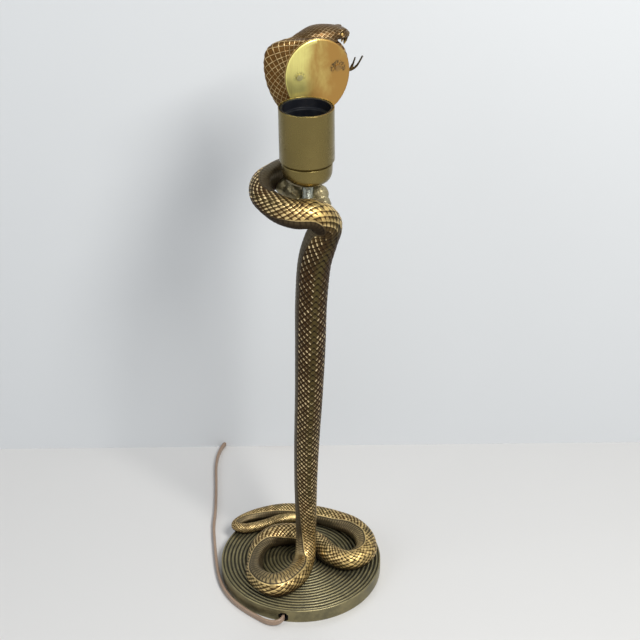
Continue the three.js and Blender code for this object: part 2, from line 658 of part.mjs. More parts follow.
const headAt = (u, w, dz) => inHood(u, w, hoodAt(1) + dz);
const skull = () => horn([
  [headAt(-21, 12, -5), 6, 4],
  [headAt(-13, 11.5, -6.6), 9.5, 6.6],
  [headAt(-5, 11, -4.2), 10, 7.2],
  [headAt(3, 11, -1), 10, 7.3],
  [headAt(12, 10.5, -0.5), 10, 6.3],
  [headAt(20, 10, -1.2), 8, 5],
  [headAt(26, 9, -3), 4.5, 3],
  [headAt(28.3, 8.3, -4.5), 1.5, 1.2],
], 14, 2);
const lowerJaw = () => horn([
  [headAt(-4, 12, -14), 8, 5],
  [headAt(6, 11.5, -20), 8, 4],
  [headAt(14, 11, -26.5), 6.5, 3],
  [headAt(19.5, 11, -30), 4, 2],
  [headAt(22, 11, -31), 1.5, 1],
], 12, 2);

// A pointed tooth that hangs from the upper jaw.
function fang(u, w) {
  const tip = headAt(u, w, -4.9 - FANG_LENGTH);
  const rooted = FANG_LENGTH + 3;
  return new THREE.ConeGeometry(1.2, rooted, 6).rotateX(-Math.PI / 2)
    .translate(tip.x, tip.y, tip.z + rooted / 2);
}

function plateOutline() {
  const outline = new THREE.Shape();
  const count = 32;
  for (let i = 0; i < count; i++) {
    const a = (i / count) * 2 * Math.PI;
    const half = Math.sin(a) > 0 ? PLATE_UPPER : PLATE_LOWER;
    outline[i ? 'lineTo' : 'moveTo'](PLATE_HALF_WIDTH * Math.cos(a), half * Math.sin(a));
  }
  outline.closePath();
  return outline;
}

// Stands a flat outline on the plate's plane, from depth w0 to w1.
function onPlate(outline, w0, w1) {
  return new THREE.ExtrudeGeometry(outline, { depth: w1 - w0, bevelEnabled: false, curveSegments: 6 })
    .translate(0, 0, -w1).rotateX(Math.PI / 2).rotateZ(hoodAngle)
    .translate(hoodOrigin.x, hoodOrigin.y, plateCentre);
}

const disc = (radius, u, dz) => new THREE.Shape().absarc(u, dz, radius, 0, 2 * Math.PI);
const rivets = [['left', -14, -0.8], ['right', 15.2, 2.6]];

function buildHood() {
  const hood = skin(hoodRows.map(hoodRing));
  const gap = GAP / 2;
  const rivetHole = ([, u, dz]) => onPlate(disc(RIVET_SHANK + GAP, u, dz), -4, RIVET_DEPTH + GAP);
  const rivetHoles = rivets.map(rivetHole);
  const fangs = FANG_HEIGHTS.map((height) => fang(FANG_PLACE, height));
  const solid = toSolid(join(hood, skull(), lowerJaw(), ...fangs))
    .subtract(toSolid(onPlate(disc(PLATE_CUT_RADIUS, 0, 0), -PLATE_CUT_DEPTH, gap)))
    .subtract(toSolid(neckPin(GAP)))
    .subtract(toSolid(tongueShape(TONGUE_RADIUS + GAP)));
  add('hood_casting', toGeometry(rivetHoles.reduce((s, g) => s.subtract(toSolid(g)), solid)), bronze);
  add('hood_plate', cut(onPlate(plateOutline(), -PLATE_THICKNESS - gap, -gap), ...rivetHoles), brass);
  rivets.forEach(([side, u, dz]) => {
    const headBack = -PLATE_THICKNESS - gap - GAP;
    const head = onPlate(disc(RIVET_RADIUS, u, dz), headBack - RIVET_HEAD, headBack);
    const shank = onPlate(disc(RIVET_SHANK, u, dz), headBack - RIVET_HEAD / 2, RIVET_DEPTH);
    add(`plate_rivet_${side}`, join(head, shank), brass);
  });
  add('tongue', tongueShape(TONGUE_RADIUS), bronze);
}

// The forked tongue: a root in the lower jaw and two tips that curl up.
function tongueShape(radius) {
  const bend = headAt(19, 10, -29);
  const fork = headAt(27, 7, -30);
  const root = [headAt(4, 12, -20), headAt(12, 11.5, -25), bend, fork];
  const near = [bend, fork, headAt(32, 5.8, -27.5), headAt(36.8, 4.7, -19.5)];
  const far = [bend, fork, headAt(30, 7.5, -26.5), headAt(32.1, 7.5, -21)];
  const tip = radius * 0.85;
  return join(bentRod(root, radius, 6, 5), bentRod(near, tip, 6, 7), bentRod(far, tip, 6, 6));
}

// Lampholder

function buildHolder() {
  const [x, y] = [HOLDER_X, HOLDER_Y];
  const collarOuter = SLEEVE_RADIUS - SLEEVE_WALL - GAP;
  const domeOuter = SLEEVE_RADIUS - DOME_STEP;
  const inner = collarOuter - DOME_WALL;
  const stemHole = STEM_RADIUS + GAP;
  const h = DOME_HEIGHT;
  const domeAt = (share) => holderBottom + h * share;
  add('holder_dome', turned([
    [stemHole, domeAt(0)], [domeOuter * 0.5, domeAt(0.02)], [domeOuter * 0.76, domeAt(0.11)],
    [domeOuter * 0.92, domeAt(0.27)], [domeOuter * 0.985, domeAt(0.5)], [domeOuter, seam - GAP],
    [collarOuter, seam - GAP], [collarOuter, seam + COLLAR_HEIGHT], [inner, seam + COLLAR_HEIGHT],
    [inner, blockBottom - GAP], [inner - 2, blockBottom - GAP], [domeOuter * 0.86, domeAt(0.38)],
    [domeOuter * 0.7, domeAt(0.2)], [domeOuter * 0.5, domeAt(0.1)], [stemHole, domeAt(0.1)],
    [stemHole, domeAt(0)],
  ], x, y, 28), satinBrass);
  const nutBottom = domeAt(0.1) + GAP;
  const nutTop = nutBottom + NUT_HEIGHT;
  const nutCorner = NUT_WIDTH / Math.sqrt(3);
  const hexagon = rod(nutCorner, nutBottom, nutTop, x, y, 6);
  add('stem_lock_nut', cut(hexagon, rod(stemHole, nutBottom - 1, nutTop + 1, x, y, 16)), steel);
  add('threaded_stem', tube(STEM_BORE, STEM_RADIUS, stemBottom, stemTop, x, y, 20), steel);
  const blockTop = seam + COLLAR_HEIGHT - GAP;
  const terminalHole = (dx) => rod(SCREW_RADIUS - GAP, blockBottom - 1, blockBottom + 6, x + dx, y, 12);
  const terminals = [-TERMINAL_SPACING, TERMINAL_SPACING].map(terminalHole);
  add('contact_block', cut(rod(inner - GAP, blockBottom, blockTop, x, y, 32), ...terminals), porcelain);
  [['live', -TERMINAL_SPACING], ['neutral', TERMINAL_SPACING]].forEach(([name, dx]) => {
    const head = blockBottom - GAP;
    const radius = SCREW_RADIUS - 2 * GAP;
    add(`${name}_terminal_screw`, turned([[0, head - 1.8], [radius + 1.4, head - 1.8], [radius + 1.4, head],
      [radius, head], [radius, blockBottom + 6 - GAP], [0, blockBottom + 6 - GAP]], x + dx, y, 12), brass);
  });
  const seat = blockTop + GAP;
  add('screw_shell', tube(SHELL_RADIUS - SHELL_WALL, SHELL_RADIUS, seat, seat + SHELL_HEIGHT, x, y), brass);
  const strip = new THREE.BoxGeometry(11, 5, 0.8).translate(x, y, seat + 0.4);
  const button = rod(2.2, seat + 0.4, seat + 2, x, y, 12);
  add('centre_contact', join(strip, button), brass);
  const linerBottom = seam + COLLAR_HEIGHT + GAP;
  add('liner_ring', tube(collarOuter - LINER_WALL, collarOuter, linerBottom, rim - GAP, x, y), blackResin);
  add('holder_sleeve', tube(SLEEVE_RADIUS - SLEEVE_WALL, SLEEVE_RADIUS, seam, rim, x, y, 40), satinBrass);
}

// Flex from the rim to the plug: the run that lies open, an inline switch, a tied-up coil.

const bushingEnd = BASE_RADIUS + BUSHING_FLANGE + GAP;
const outwardAt = (r) => v(flexExit.x, flexExit.y, 0).setLength(r).setZ(FLEX_HOLE_HEIGHT);
const nearBase = (x, y, z) => v(x * spread, y * spread, z);
const openRun = [
  outwardAt(bushingEnd + GAP),
  outwardAt(bushingEnd + 2),
  nearBase(-18, -72.2, 4.4),
  nearBase(-25, -70.2, 2.7),
  nearBase(-34.5, -63.2, FLEX_Z),
  nearBase(-46.5, -54.6, FLEX_Z),
  nearBase(-56.5, -43.6, FLEX_Z),
  nearBase(-64.2, -30.6, FLEX_Z),
  nearBase(-69.2, -16, FLEX_Z),
  nearBase(-72.4, 0.5, FLEX_Z),
  nearBase(-75.2, 22, FLEX_Z),
  v(-78.2, 53, FLEX_Z),
  v(-78.2, 75, FLEX_Z),
  v(-79.6, 109, FLEX_Z),
  v(-81.6, 144, FLEX_Z),
  v(-80.4, 162, FLEX_Z),
  v(-76, 177, FLEX_Z),
  v(-68, 188.5, FLEX_Z),
  v(-56, 195, FLEX_Z),
];
const switchMiddle = v(-42 + SWITCH_LENGTH / 2, 197, SWITCH_HEIGHT / 2);
const switchReach = SWITCH_LENGTH / 2 + GAP;
const switchEnds = [-1, 1].map((side) => v(switchMiddle.x + side * switchReach, switchMiddle.y, FLEX_Z));
const coilWidth = COIL_TURNS_WIDE * FLEX_WIDTH + 1;
const coilHeight = COIL_TURNS_HIGH * FLEX_THICKNESS + 0.6;
const coilOuter = COIL_RADIUS + coilWidth / 2;
const coilMiddle = v(50, switchMiddle.y + coilOuter - FLEX_WIDTH / 2, 0);
const plugTail = v(coilMiddle.x - 52, coilMiddle.y + 14, PLUG_HEIGHT / 2);

// The flat flex along a list of points, never below the table.
function flexTube(points, steps) {
  const geometry = bentRod(points, FLEX_WIDTH / 2, 8, steps, FLEX_THICKNESS / FLEX_WIDTH);
  const p = geometry.attributes.position;
  for (let i = 0; i < p.count; i++) p.setZ(i, Math.max(p.getZ(i), FLEX_LIFT));
  return geometry;
}

function buildFlex() {
  const flange = radialRod(BUSHING_RADIUS + 0.6, BASE_RADIUS + GAP, BASE_RADIUS + BUSHING_FLANGE + GAP, 16);
  const barrel = radialRod(BUSHING_RADIUS - GAP, BASE_RADIUS - BASE_WALL - 0.6, BASE_RADIUS + 0.6, 16);
  const bore = radialRod(LEAD_RADIUS + BORE_CLEARANCE, BASE_RADIUS - BASE_WALL - 3, BASE_RADIUS + 4, 16);
  add('rim_bushing', cut(join(barrel, flange), bore), blackResin);

  const toSwitch = [...openRun, switchEnds[0].clone().add(v(-4, 0, 0)), switchEnds[0].clone()];
  add('flex_open_run', flexTube(toSwitch, 36), flexPlastic);
  const entry = v(coilMiddle.x - coilOuter * 0.35, coilMiddle.y - coilOuter - 0.2, FLEX_Z);
  const leaving = switchEnds[1].clone().add(v(4, 0, 0));
  add('flex_to_coil', flexTube([switchEnds[1].clone(), leaving, entry], 6), flexPlastic);
  const coilTop = FLEX_LIFT + coilHeight;
  const coil = tube(coilOuter - coilWidth, coilOuter, FLEX_LIFT, coilTop, coilMiddle.x, coilMiddle.y);
  add('flex_coil', coil, flexPlastic);

  const leave = v(coilMiddle.x - 4, coilMiddle.y + coilOuter + FLEX_WIDTH / 2 + 0.4, FLEX_Z);
  const plugEntry = plugTail.clone().add(v(GAP, 0, 0));
  const toPlug = [
    leave,
    leave.clone().add(v(-14, -2.1, 0)),
    leave.clone().add(v(-27, -8.5, 0.4)),
    plugEntry.clone().add(v(12, 7, -2)),
    plugEntry.clone().add(v(3, 0.4, 0)),
    plugEntry,
  ];
  add('flex_to_plug', flexTube(toPlug, 16), flexPlastic);
}

function buildSwitch() {
  const { x, y } = switchMiddle;
  const half = SWITCH_LENGTH / 2;
  const outline = new THREE.Shape();
  const nose = SWITCH_WIDTH * 0.3;
  outline.moveTo(-half, -nose);
  outline.quadraticCurveTo(-half + 2, -SWITCH_WIDTH / 2, -half + 12, -SWITCH_WIDTH / 2);
  outline.lineTo(half - 12, -SWITCH_WIDTH / 2);
  outline.quadraticCurveTo(half - 2, -SWITCH_WIDTH / 2, half, -nose);
  outline.lineTo(half, nose);
  outline.quadraticCurveTo(half - 2, SWITCH_WIDTH / 2, half - 12, SWITCH_WIDTH / 2);
  outline.lineTo(-half + 12, SWITCH_WIDTH / 2);
  outline.quadraticCurveTo(-half + 2, SWITCH_WIDTH / 2, -half, nose);
  outline.closePath();
  const shell = new THREE.ExtrudeGeometry(outline, {
    depth: SWITCH_HEIGHT - 2,
    bevelThickness: 1,
    bevelSize: 1,
    bevelOffset: -1,
    bevelSegments: 2,
    curveSegments: 5,
  }).translate(x, y, 1);
  const well = new THREE.BoxGeometry(ROCKER_LENGTH + 1.6, ROCKER_WIDTH + 1, 9)
    .translate(x, y, SWITCH_HEIGHT - 3.5);
  const pinHole = new THREE.CylinderGeometry(ROCKER_PIN + 0.2, ROCKER_PIN + 0.2, ROCKER_WIDTH + 5, 16)
    .translate(x, y, rockerAxis);
  add('switch_housing', cut(shell, well, pinHole), brownPlastic);
  const rise = SWITCH_HEIGHT + ROCKER_ABOVE - rockerAxis;
  const side = new THREE.Shape();
  side.moveTo(-ROCKER_LENGTH / 2, rise);
  side.quadraticCurveTo(0, rise - 2.4, ROCKER_LENGTH / 2, rise);
  side.lineTo(ROCKER_LENGTH / 2 - 1, -1);
  side.lineTo(2, -2.6);
  side.lineTo(-2, -2.6);
  side.lineTo(-ROCKER_LENGTH / 2 + 1, -1);
  side.closePath();
  const plain = { depth: ROCKER_WIDTH, bevelEnabled: false, curveSegments: 8 };
  const lever = new THREE.ExtrudeGeometry(side, plain)
    .rotateX(Math.PI / 2).translate(0, ROCKER_WIDTH / 2, 0)
    .rotateY(THREE.MathUtils.degToRad(-ROCKER_THROW / 2)).translate(x, y, rockerAxis);
  const pin = new THREE.CylinderGeometry(ROCKER_PIN, ROCKER_PIN, ROCKER_WIDTH + 4, 16)
    .translate(x, y, rockerAxis);
  add('switch_rocker', join(lever, pin), brownPlastic);
}
const rockerAxis = SWITCH_HEIGHT - 4;

function buildPlug() {
  const half = PLUG_WIDTH / 2;
  const outline = new THREE.Shape();
  outline.moveTo(0, -4);
  outline.lineTo(-PLUG_LENGTH * 0.3, -half * 0.62);
  outline.quadraticCurveTo(-PLUG_LENGTH * 0.5, -half * 0.75, -PLUG_LENGTH * 0.72, -half);
  outline.lineTo(-PLUG_LENGTH, -half);
  outline.lineTo(-PLUG_LENGTH, half);
  outline.lineTo(-PLUG_LENGTH * 0.72, half);
  outline.quadraticCurveTo(-PLUG_LENGTH * 0.5, half * 0.75, -PLUG_LENGTH * 0.3, half * 0.62);
  outline.lineTo(0, 4);
  outline.closePath();
  const shell = new THREE.ExtrudeGeometry(outline, {
    depth: PLUG_HEIGHT - 3,
    bevelThickness: 1.5,
    bevelSize: 1.5,
    bevelOffset: -1.5,
    bevelSegments: 2,
    curveSegments: 5,
  }).translate(plugTail.x, plugTail.y, 1.5);
  const lyingPin = (radius, length, middle, side) => new THREE.CylinderGeometry(radius, radius, length, 12)
    .rotateZ(Math.PI / 2)
    .translate(middle, plugTail.y + (side * PLUG_PIN_SPACING) / 2, PLUG_HEIGHT / 2);
  const face = plugTail.x - PLUG_LENGTH;
  const seatLength = 2 * (PLUG_PIN_DEPTH + GAP);
  const seats = [-1, 1].map((side) => lyingPin(PLUG_PIN_RADIUS + GAP, seatLength, face, side));
  add('plug_body', cut(shell, ...seats), brownPlastic);
  const length = PLUG_PIN_LENGTH + PLUG_PIN_DEPTH;
  const middle = face + PLUG_PIN_DEPTH - length / 2;
  add('plug_pin_live', lyingPin(PLUG_PIN_RADIUS, length, middle, -1), brass);
  add('plug_pin_neutral', lyingPin(PLUG_PIN_RADIUS, length, middle, 1), brass);
}

buildBase();
buildLead();
buildColumn();
buildTail();
buildNeck();
buildHood();
buildHolder();
buildFlex();
buildSwitch();
buildPlug();

export default lamp;
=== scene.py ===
"""The looks of a bronze cobra table lamp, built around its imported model.

All sizes here are in millimetres and become metres when a mesh is made. +Z is up, and the
origin lies under the middle of the round base.
"""

import logging
import math
from dataclasses import dataclass
from enum import Enum

import bmesh
import bpy
import numpy as np
from mathutils import Matrix, Vector


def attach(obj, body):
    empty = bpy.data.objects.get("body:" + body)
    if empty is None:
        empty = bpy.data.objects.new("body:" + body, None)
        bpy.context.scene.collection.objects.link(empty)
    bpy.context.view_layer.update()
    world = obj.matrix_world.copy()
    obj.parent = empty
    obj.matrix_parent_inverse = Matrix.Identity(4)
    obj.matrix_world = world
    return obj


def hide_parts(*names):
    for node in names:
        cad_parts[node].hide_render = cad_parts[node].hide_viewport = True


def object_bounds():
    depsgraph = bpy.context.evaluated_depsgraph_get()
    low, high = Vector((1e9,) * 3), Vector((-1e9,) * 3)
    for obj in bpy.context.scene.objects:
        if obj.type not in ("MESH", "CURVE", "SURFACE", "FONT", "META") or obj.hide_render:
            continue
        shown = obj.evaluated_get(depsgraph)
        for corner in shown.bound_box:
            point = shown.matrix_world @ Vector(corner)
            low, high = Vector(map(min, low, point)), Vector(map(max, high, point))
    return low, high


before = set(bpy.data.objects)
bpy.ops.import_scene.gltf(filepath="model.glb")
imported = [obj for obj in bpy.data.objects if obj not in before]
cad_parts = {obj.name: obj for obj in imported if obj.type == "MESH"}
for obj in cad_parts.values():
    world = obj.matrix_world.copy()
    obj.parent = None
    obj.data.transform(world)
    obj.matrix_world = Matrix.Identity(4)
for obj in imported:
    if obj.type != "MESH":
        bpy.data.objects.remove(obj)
CAD_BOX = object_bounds()

log = logging.getLogger("cobra_lamp")
MM = 0.001
SAME = 1e-7


class Part(Enum):
    """The bodies of the lamp that new pieces ride on."""

    LAMP = "lamp_body"
    LINER = "socket_liner"
    SLEEVE = "sleeve"


class Slot(Enum):
    """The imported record's material slots for new pieces."""

    BRONZE = "aged_bronze"
    POLISHED = "polished_brass"
    SATIN = "satin_brass"
    CONTACT = "contact_brass"
    STEEL = "steel"
    RESIN = "black_resin"
    SHEATH = "flex_sheath"


def smooth(x: np.ndarray | float) -> np.ndarray:
    """Eases from 0 to 1 as x goes from 0 to 1."""
    t = np.clip(x, 0.0, 1.0)
    return t * t * (3.0 - 2.0 * t)


def bump(x: np.ndarray | float, power: int = 2) -> np.ndarray:
    """Is 1 where x is 0 and falls off to both sides; a higher power keeps the top flatter."""
    return np.exp(-(np.abs(x) ** power))


def circle(count: int) -> np.ndarray:
    """Angles evenly round a circle, starting at 0."""
    return np.arange(count) * 2 * math.pi / count


def unit(v: np.ndarray) -> np.ndarray:
    """Scales the vectors on the last axis to length one."""
    return v / np.maximum(np.linalg.norm(v, axis=-1, keepdims=True), 1e-12)


def scatter(a: np.ndarray, b: np.ndarray) -> np.ndarray:
    """Gives each pair of numbers a fixed random value from 0 to 1."""
    return np.mod(np.sin(a * 12.9898 + b * 78.233) * 43758.5453, 1.0)


def lozenges(row: np.ndarray, column: np.ndarray) -> tuple[np.ndarray, np.ndarray, np.ndarray]:
    """Finds the lozenge-shaped scale that each place lies on.

    Args:
        row: places along the body, counted in scales.
        column: places across it, counted in scales.

    Returns:
        The row and column of the scale's middle, and how far off it the place is: 0.5 at the
        scale's outline.
    """
    row, column = np.broadcast_arrays(row, column)
    whole = np.stack([np.round(row), np.round(column)])
    half = np.stack([np.floor(row) + 0.5, np.floor(column) + 0.5])
    off_whole, off_half = (np.abs(row - c[0]) + np.abs(column - c[1]) for c in (whole, half))
    cell = np.where(off_whole <= off_half, whole, half)
    return cell[0], cell[1], np.minimum(off_whole, off_half)


def ball(sides: int, rows: int) -> tuple[np.ndarray, np.ndarray, np.ndarray]:
    """Rings of a ball of radius one: places along its axis and along the two others.

    Args:
        sides: points on each ring.
        rows: how many rings.

    Returns:
        Places along the axis and along two lines square to it, each (ring, point).
    """
    a = circle(sides)
    t = np.linspace(0.06, math.pi - 0.06, rows)[:, None]
    return -np.cos(t) + 0 * a, np.sin(t) * np.cos(a), np.sin(t) * np.sin(a)


def through(points: np.ndarray, places: np.ndarray, tension: float | None = None) -> np.ndarray:
    """Follows a smooth curve through points.

    Args:
        points: the points, one row each.
        places: where to read the curve, counted in points, so 2.5 is halfway from 2 to 3.
        tension: how strongly the neighbours pull; None spaces the curve by chord length.

    Returns:
        One row for each place.
    """
    p = np.asarray(points, float)
    padded = np.vstack([2 * p[0] - p[1], p, 2 * p[-1] - p[-2]])
    k = np.clip(np.floor(places).astype(int), 0, len(p) - 2)
    t = (places - k)[:, None]
    a, b, c, d = (padded[k + i] for i in range(4))
    if tension is None:
        g0, g1, g2 = (
            np.maximum(np.linalg.norm(y - x, axis=1), 1e-6)[:, None] ** 0.5
            for x, y in ((a, b), (b, c), (c, d))
        )
        m1 = ((b - a) / g0 - (c - a) / (g0 + g1) + (c - b) / g1) * g1
        m2 = ((c - b) / g1 - (d - b) / (g1 + g2) + (d - c) / g2) * g1
    else:
        m1 = tension * (c - a)
        m2 = tension * (d - b)
    h = (2 * b - 2 * c + m1 + m2) * t**3 + (-3 * b + 3 * c - 2 * m1 - m2) * t**2
    return h + m1 * t + b


class Surface:
    """Points and faces on their way to becoming a Blender mesh."""

    def __init__(self, points: np.ndarray, quads: np.ndarray, triangles: np.ndarray) -> None:
        """Keeps the points in millimetres and the faces as rows of point numbers.

        Args:
            points: places in millimetres, one row each.
            quads: rows of four point numbers.
            triangles: rows of three point numbers.
        """
        self.points = np.asarray(points, float).reshape(-1, 3)
        self.quads = np.asarray(quads, np.int32).reshape(-1, 4)
        self.triangles = np.asarray(triangles, np.int32).reshape(-1, 3)
        self.values: dict[str, np.ndarray] = {}

    @classmethod
    def of_rings(cls, rings: np.ndarray, closed: bool = True, ends: bool = True) -> "Surface":
        """Skins rings of points.

        Args:
            rings: points as (ring, point on the ring, 3).
            closed: whether each ring joins up with itself.
            ends: whether the first and last ring are filled.

        Returns:
            The surface, with the points in ring order and the two end points last.
        """
        n, m = rings.shape[:2]
        last = m if closed else m - 1
        i, j = np.meshgrid(np.arange(n - 1), np.arange(last), indexing="ij")
        k = (j + 1) % m
        quads = np.stack([i * m + j, i * m + k, (i + 1) * m + k, (i + 1) * m + j], -1).reshape(-1, 4)
        points = rings.reshape(-1, 3)
        triangles = []
        if ends:
            points = np.vstack([points, rings[0].mean(0), rings[-1].mean(0)])
            around = np.arange(m)
            after = (around + 1) % m
            base = (n - 1) * m
            triangles = np.vstack([
                np.stack([after, around, np.full(m, n * m)], -1),
                np.stack([base + around, base + after, np.full(m, n * m + 1)], -1),
            ])
        return cls(points, quads, triangles)

    @classmethod
    def turned(cls, profile: np.ndarray, segments: int, x: float = 0.0, y: float = 0.0) -> "Surface":
        """Turns a closed profile of (radius, height) rows about an upright line.

        Args:
            profile: the rows, in order round the outline.
            segments: how many steps make a full turn.
            x: the line's place.
            y: the line's other place.

        Returns:
            The closed surface.
        """
        profile = np.asarray(profile, float)
        angle = circle(segments)
        ring = np.stack([np.cos(angle), np.sin(angle)], -1)
        rows = profile[:, None, :1] * ring[None] + np.array([x, y])
        heights = np.broadcast_to(profile[:, None, 1:], (len(profile), segments, 1))
        rings = np.concatenate([rows, heights], -1)
        return cls.of_rings(np.concatenate([rings, rings[:1]]), ends=False)

    def carry(self, name: str, values: np.ndarray) -> "Surface":
        """Gives every point a number that the finish can read; end points get the mean.

        Args:
            name: what the finish calls it.
            values: one number for each point, in ring order.

        Returns:
            The same surface.
        """
        flat = np.asarray(values, float).ravel()
        extra = len(self.points) - len(flat)
        self.values[name] = np.concatenate([flat, np.full(extra, flat.mean() if len(flat) else 0.0)])
        return self

    def mesh(self, name: str) -> bpy.types.Object:
        """Makes the object, with its faces pointing out and smooth shading.

        Args:
            name: the object's name.

        Returns:
            The object.
        """
        data = bpy.data.meshes.new(name)
        data.vertices.add(len(self.points))
        data.vertices.foreach_set("co", (self.points * MM).astype(np.float32).ravel())
        loops = np.concatenate([self.quads.ravel(), self.triangles.ravel()]).astype(np.int32)
        starts = np.concatenate([
            np.arange(len(self.quads)) * 4,
            self.quads.size + np.arange(len(self.triangles)) * 3,
        ]).astype(np.int32)
        data.loops.add(len(loops))
        data.loops.foreach_set("vertex_index", loops)
        data.polygons.add(len(starts))
        data.polygons.foreach_set("loop_start", starts)
        data.update(calc_edges=True)
        for key, values in self.values.items():
            layer = data.attributes.new(key, "FLOAT", "POINT")
            layer.data.foreach_set("value", values.astype(np.float32))
        work = bmesh.new()
        work.from_mesh(data)
        bmesh.ops.remove_doubles(work, verts=work.verts, dist=SAME)
        bmesh.ops.dissolve_degenerate(work, edges=work.edges, dist=SAME)
        if work.calc_volume(signed=True) < 0:
            bmesh.ops.reverse_faces(work, faces=work.faces)
        work.to_mesh(data)
        work.free()
        data.validate()
        data.shade_smooth()
        return placed(name, data)


def placed(name: str, data: bpy.types.ID) -> bpy.types.Object:
    """Puts a mesh, light or camera into the scene as an object.

    Args:
        name: the object's name.
        data: what it shows.

    Returns:
        The object.
    """
    made = bpy.data.objects.new(name, data)
    bpy.context.scene.collection.objects.link(made)
    return made


def swept(
    path: np.ndarray, across: np.ndarray, out: np.ndarray, side: np.ndarray, up: np.ndarray
) -> np.ndarray:
    """Places a section at each point of a path.

    Args:
        path: the centres, one row each.
        across: each ring's sideways sizes, (ring, point).
        out: each ring's upward sizes, (ring, point).
        side: the sideways direction at each centre.
        up: the upward direction at each centre.

    Returns:
        Rings of points, (ring, point, 3).
    """
    return path[:, None] + across[..., None] * side[:, None] + out[..., None] * up[:, None]


def frames(path: np.ndarray, hint: np.ndarray) -> tuple[np.ndarray, np.ndarray]:
    """Finds the sideways and upward directions along a path, up being as near hint as it can.

    Args:
        path: the points, one row each.
        hint: where up should point, in one row or in one for each point.

    Returns:
        The two directions at each point.
    """
    tangent = unit(np.gradient(path, axis=0))
    side = unit(np.cross(tangent, hint))
    return side, np.cross(side, tangent)


def evenly(path: np.ndarray, step: float) -> np.ndarray:
    """Reads a path again with points a step apart.

    Args:
        path: the points, one row each.
        step: about how far apart the new ones are.

    Returns:
        The new points.
    """
    along = np.concatenate([[0], np.cumsum(np.linalg.norm(np.diff(path, axis=0), axis=1))])
    at = np.linspace(0, along[-1], max(2, round(along[-1] / step) + 1))
    return np.stack([np.interp(at, along, path[:, i]) for i in range(3)], -1)


def mesh_points(piece: bpy.types.Object) -> np.ndarray:
    """The points of a piece, in millimetres.

    Args:
        piece: any piece with a mesh.

    Returns:
        One row for each point.
    """
    co = np.zeros(len(piece.data.vertices) * 3, np.float32)
    piece.data.vertices.foreach_get("co", co)
    return co.reshape(-1, 3).astype(float) / MM


def mesh_normals(piece: bpy.types.Object) -> np.ndarray:
    """The normals of a piece at its points.

    Args:
        piece: any piece with a mesh.

    Returns:
        One row for each point.
    """
    n = np.zeros(len(piece.data.vertices) * 3, np.float32)
    piece.data.vertex_normals.foreach_get("vector", n)
    return n.reshape(-1, 3).astype(float)


def reshape(piece: bpy.types.Object, points: np.ndarray) -> None:
    """Moves the points of a piece to new places, in millimetres."""
    piece.data.vertices.foreach_set("co", (points * MM).astype(np.float32).ravel())
    piece.data.update()


def carry(piece: bpy.types.Object, name: str, values: np.ndarray) -> None:
    """Gives each point of a piece a number that its finish can read."""
    layer = piece.data.attributes.get(name) or piece.data.attributes.new(name, "FLOAT", "POINT")
    layer.data.foreach_set("value", values.astype(np.float32))


def fused(name: str, surfaces: list[Surface], voxel: float, rounds: int) -> bpy.types.Object:
    """Joins overlapping closed surfaces into one skin and softens where they meet.

    Args:
        name: the new piece's name.
        surfaces: the closed surfaces.
        voxel: the size of the new faces, in millimetres.
        rounds: how many times the skin is smoothed.

    Returns:
        The new piece.
    """
    sources = [s.mesh(f"{name}_source{i}") for i, s in enumerate(surfaces)]
    work = bmesh.new()
    for source in sources:
        work.from_mesh(source.data)
    data = bpy.data.meshes.new(name)
    work.to_mesh(data)
    work.free()
    for source in sources:
        old = source.data
        bpy.data.objects.remove(source)
        bpy.data.meshes.remove(old)
    made = placed(name, data)
    remesh = made.modifiers.new("remesh", "REMESH")
    remesh.mode = "VOXEL"
    remesh.voxel_size = voxel * MM
    soften = made.modifiers.new("soften", "SMOOTH")
    soften.factor = 0.5
    soften.iterations = rounds
    return applied(made)


def applied(piece: bpy.types.Object) -> bpy.types.Object:
    """Turns a piece's modifiers into its own mesh.

    Args:
        piece: a piece with modifiers.

    Returns:
        The same piece.
    """
    bpy.context.view_layer.update()
    shown = piece.evaluated_get(bpy.context.evaluated_depsgraph_get())
    data = bpy.data.meshes.new_from_object(shown)
    old = piece.data
    piece.modifiers.clear()
    piece.data = data
    data.name = piece.name
    bpy.data.meshes.remove(old)
    data.shade_smooth()
    return piece


class Nodes:
    """A node tree, written with short calls."""

    def __init__(self, tree: bpy.types.NodeTree) -> None:
        """Takes over a tree and empties it."""
        self.tree = tree
        tree.nodes.clear()

    def put(self, socket: bpy.types.NodeSocket, value: object) -> None:
        """Links a socket, or sets its number or colour.

        Args:
            socket: the socket.
            value: another socket, a number, a vector or a colour.
        """
        if isinstance(value, bpy.types.NodeSocket):
            self.tree.links.new(value, socket)
        elif socket.type == "RGBA":
            socket.default_value = (*value, 1.0)
        else:
            socket.default_value = value

    def node(self, kind: str, inputs: dict[str | int, object], **settings: object) -> bpy.types.Node:
        """Adds a node.

        Args:
            kind: Blender's name for it, without ShaderNode.
            inputs: what goes into its sockets, by their names or places.
            **settings: what else is set on it.

        Returns:
            The node.
        """
        made = self.tree.nodes.new(f"ShaderNode{kind}")
        for key, value in settings.items():
            setattr(made, key, value)
        for key, value in inputs.items():
            self.put(made.inputs[key], value)
        return made

    def math(self, kind: str, a: object, b: object) -> bpy.types.NodeSocket:
        """Does arithmetic on two values; kind is Blender's name for it."""
        return self.node("Math", {0: a, 1: b}, operation=kind).outputs[0]

    def seen(self) -> bpy.types.NodeSocket:
        """Is 1 for the camera's rays and for those that metal and glass pass on.

        Returns:
            A value of 0 or 1.
        """
        rays = self.node("LightPath", {}).outputs
        direct = self.math("MAXIMUM", rays["Is Camera Ray"], rays["Is Glossy Ray"])
        return self.math("MAXIMUM", direct, rays["Is Transmission Ray"])

    def mixed(self, share: object, first: object, second: object) -> bpy.types.NodeSocket:
        """Mixes two shaders: the first where share is 0, the second where it is 1."""
        return self.node("MixShader", {0: share, 1: first, 2: second}).outputs[0]


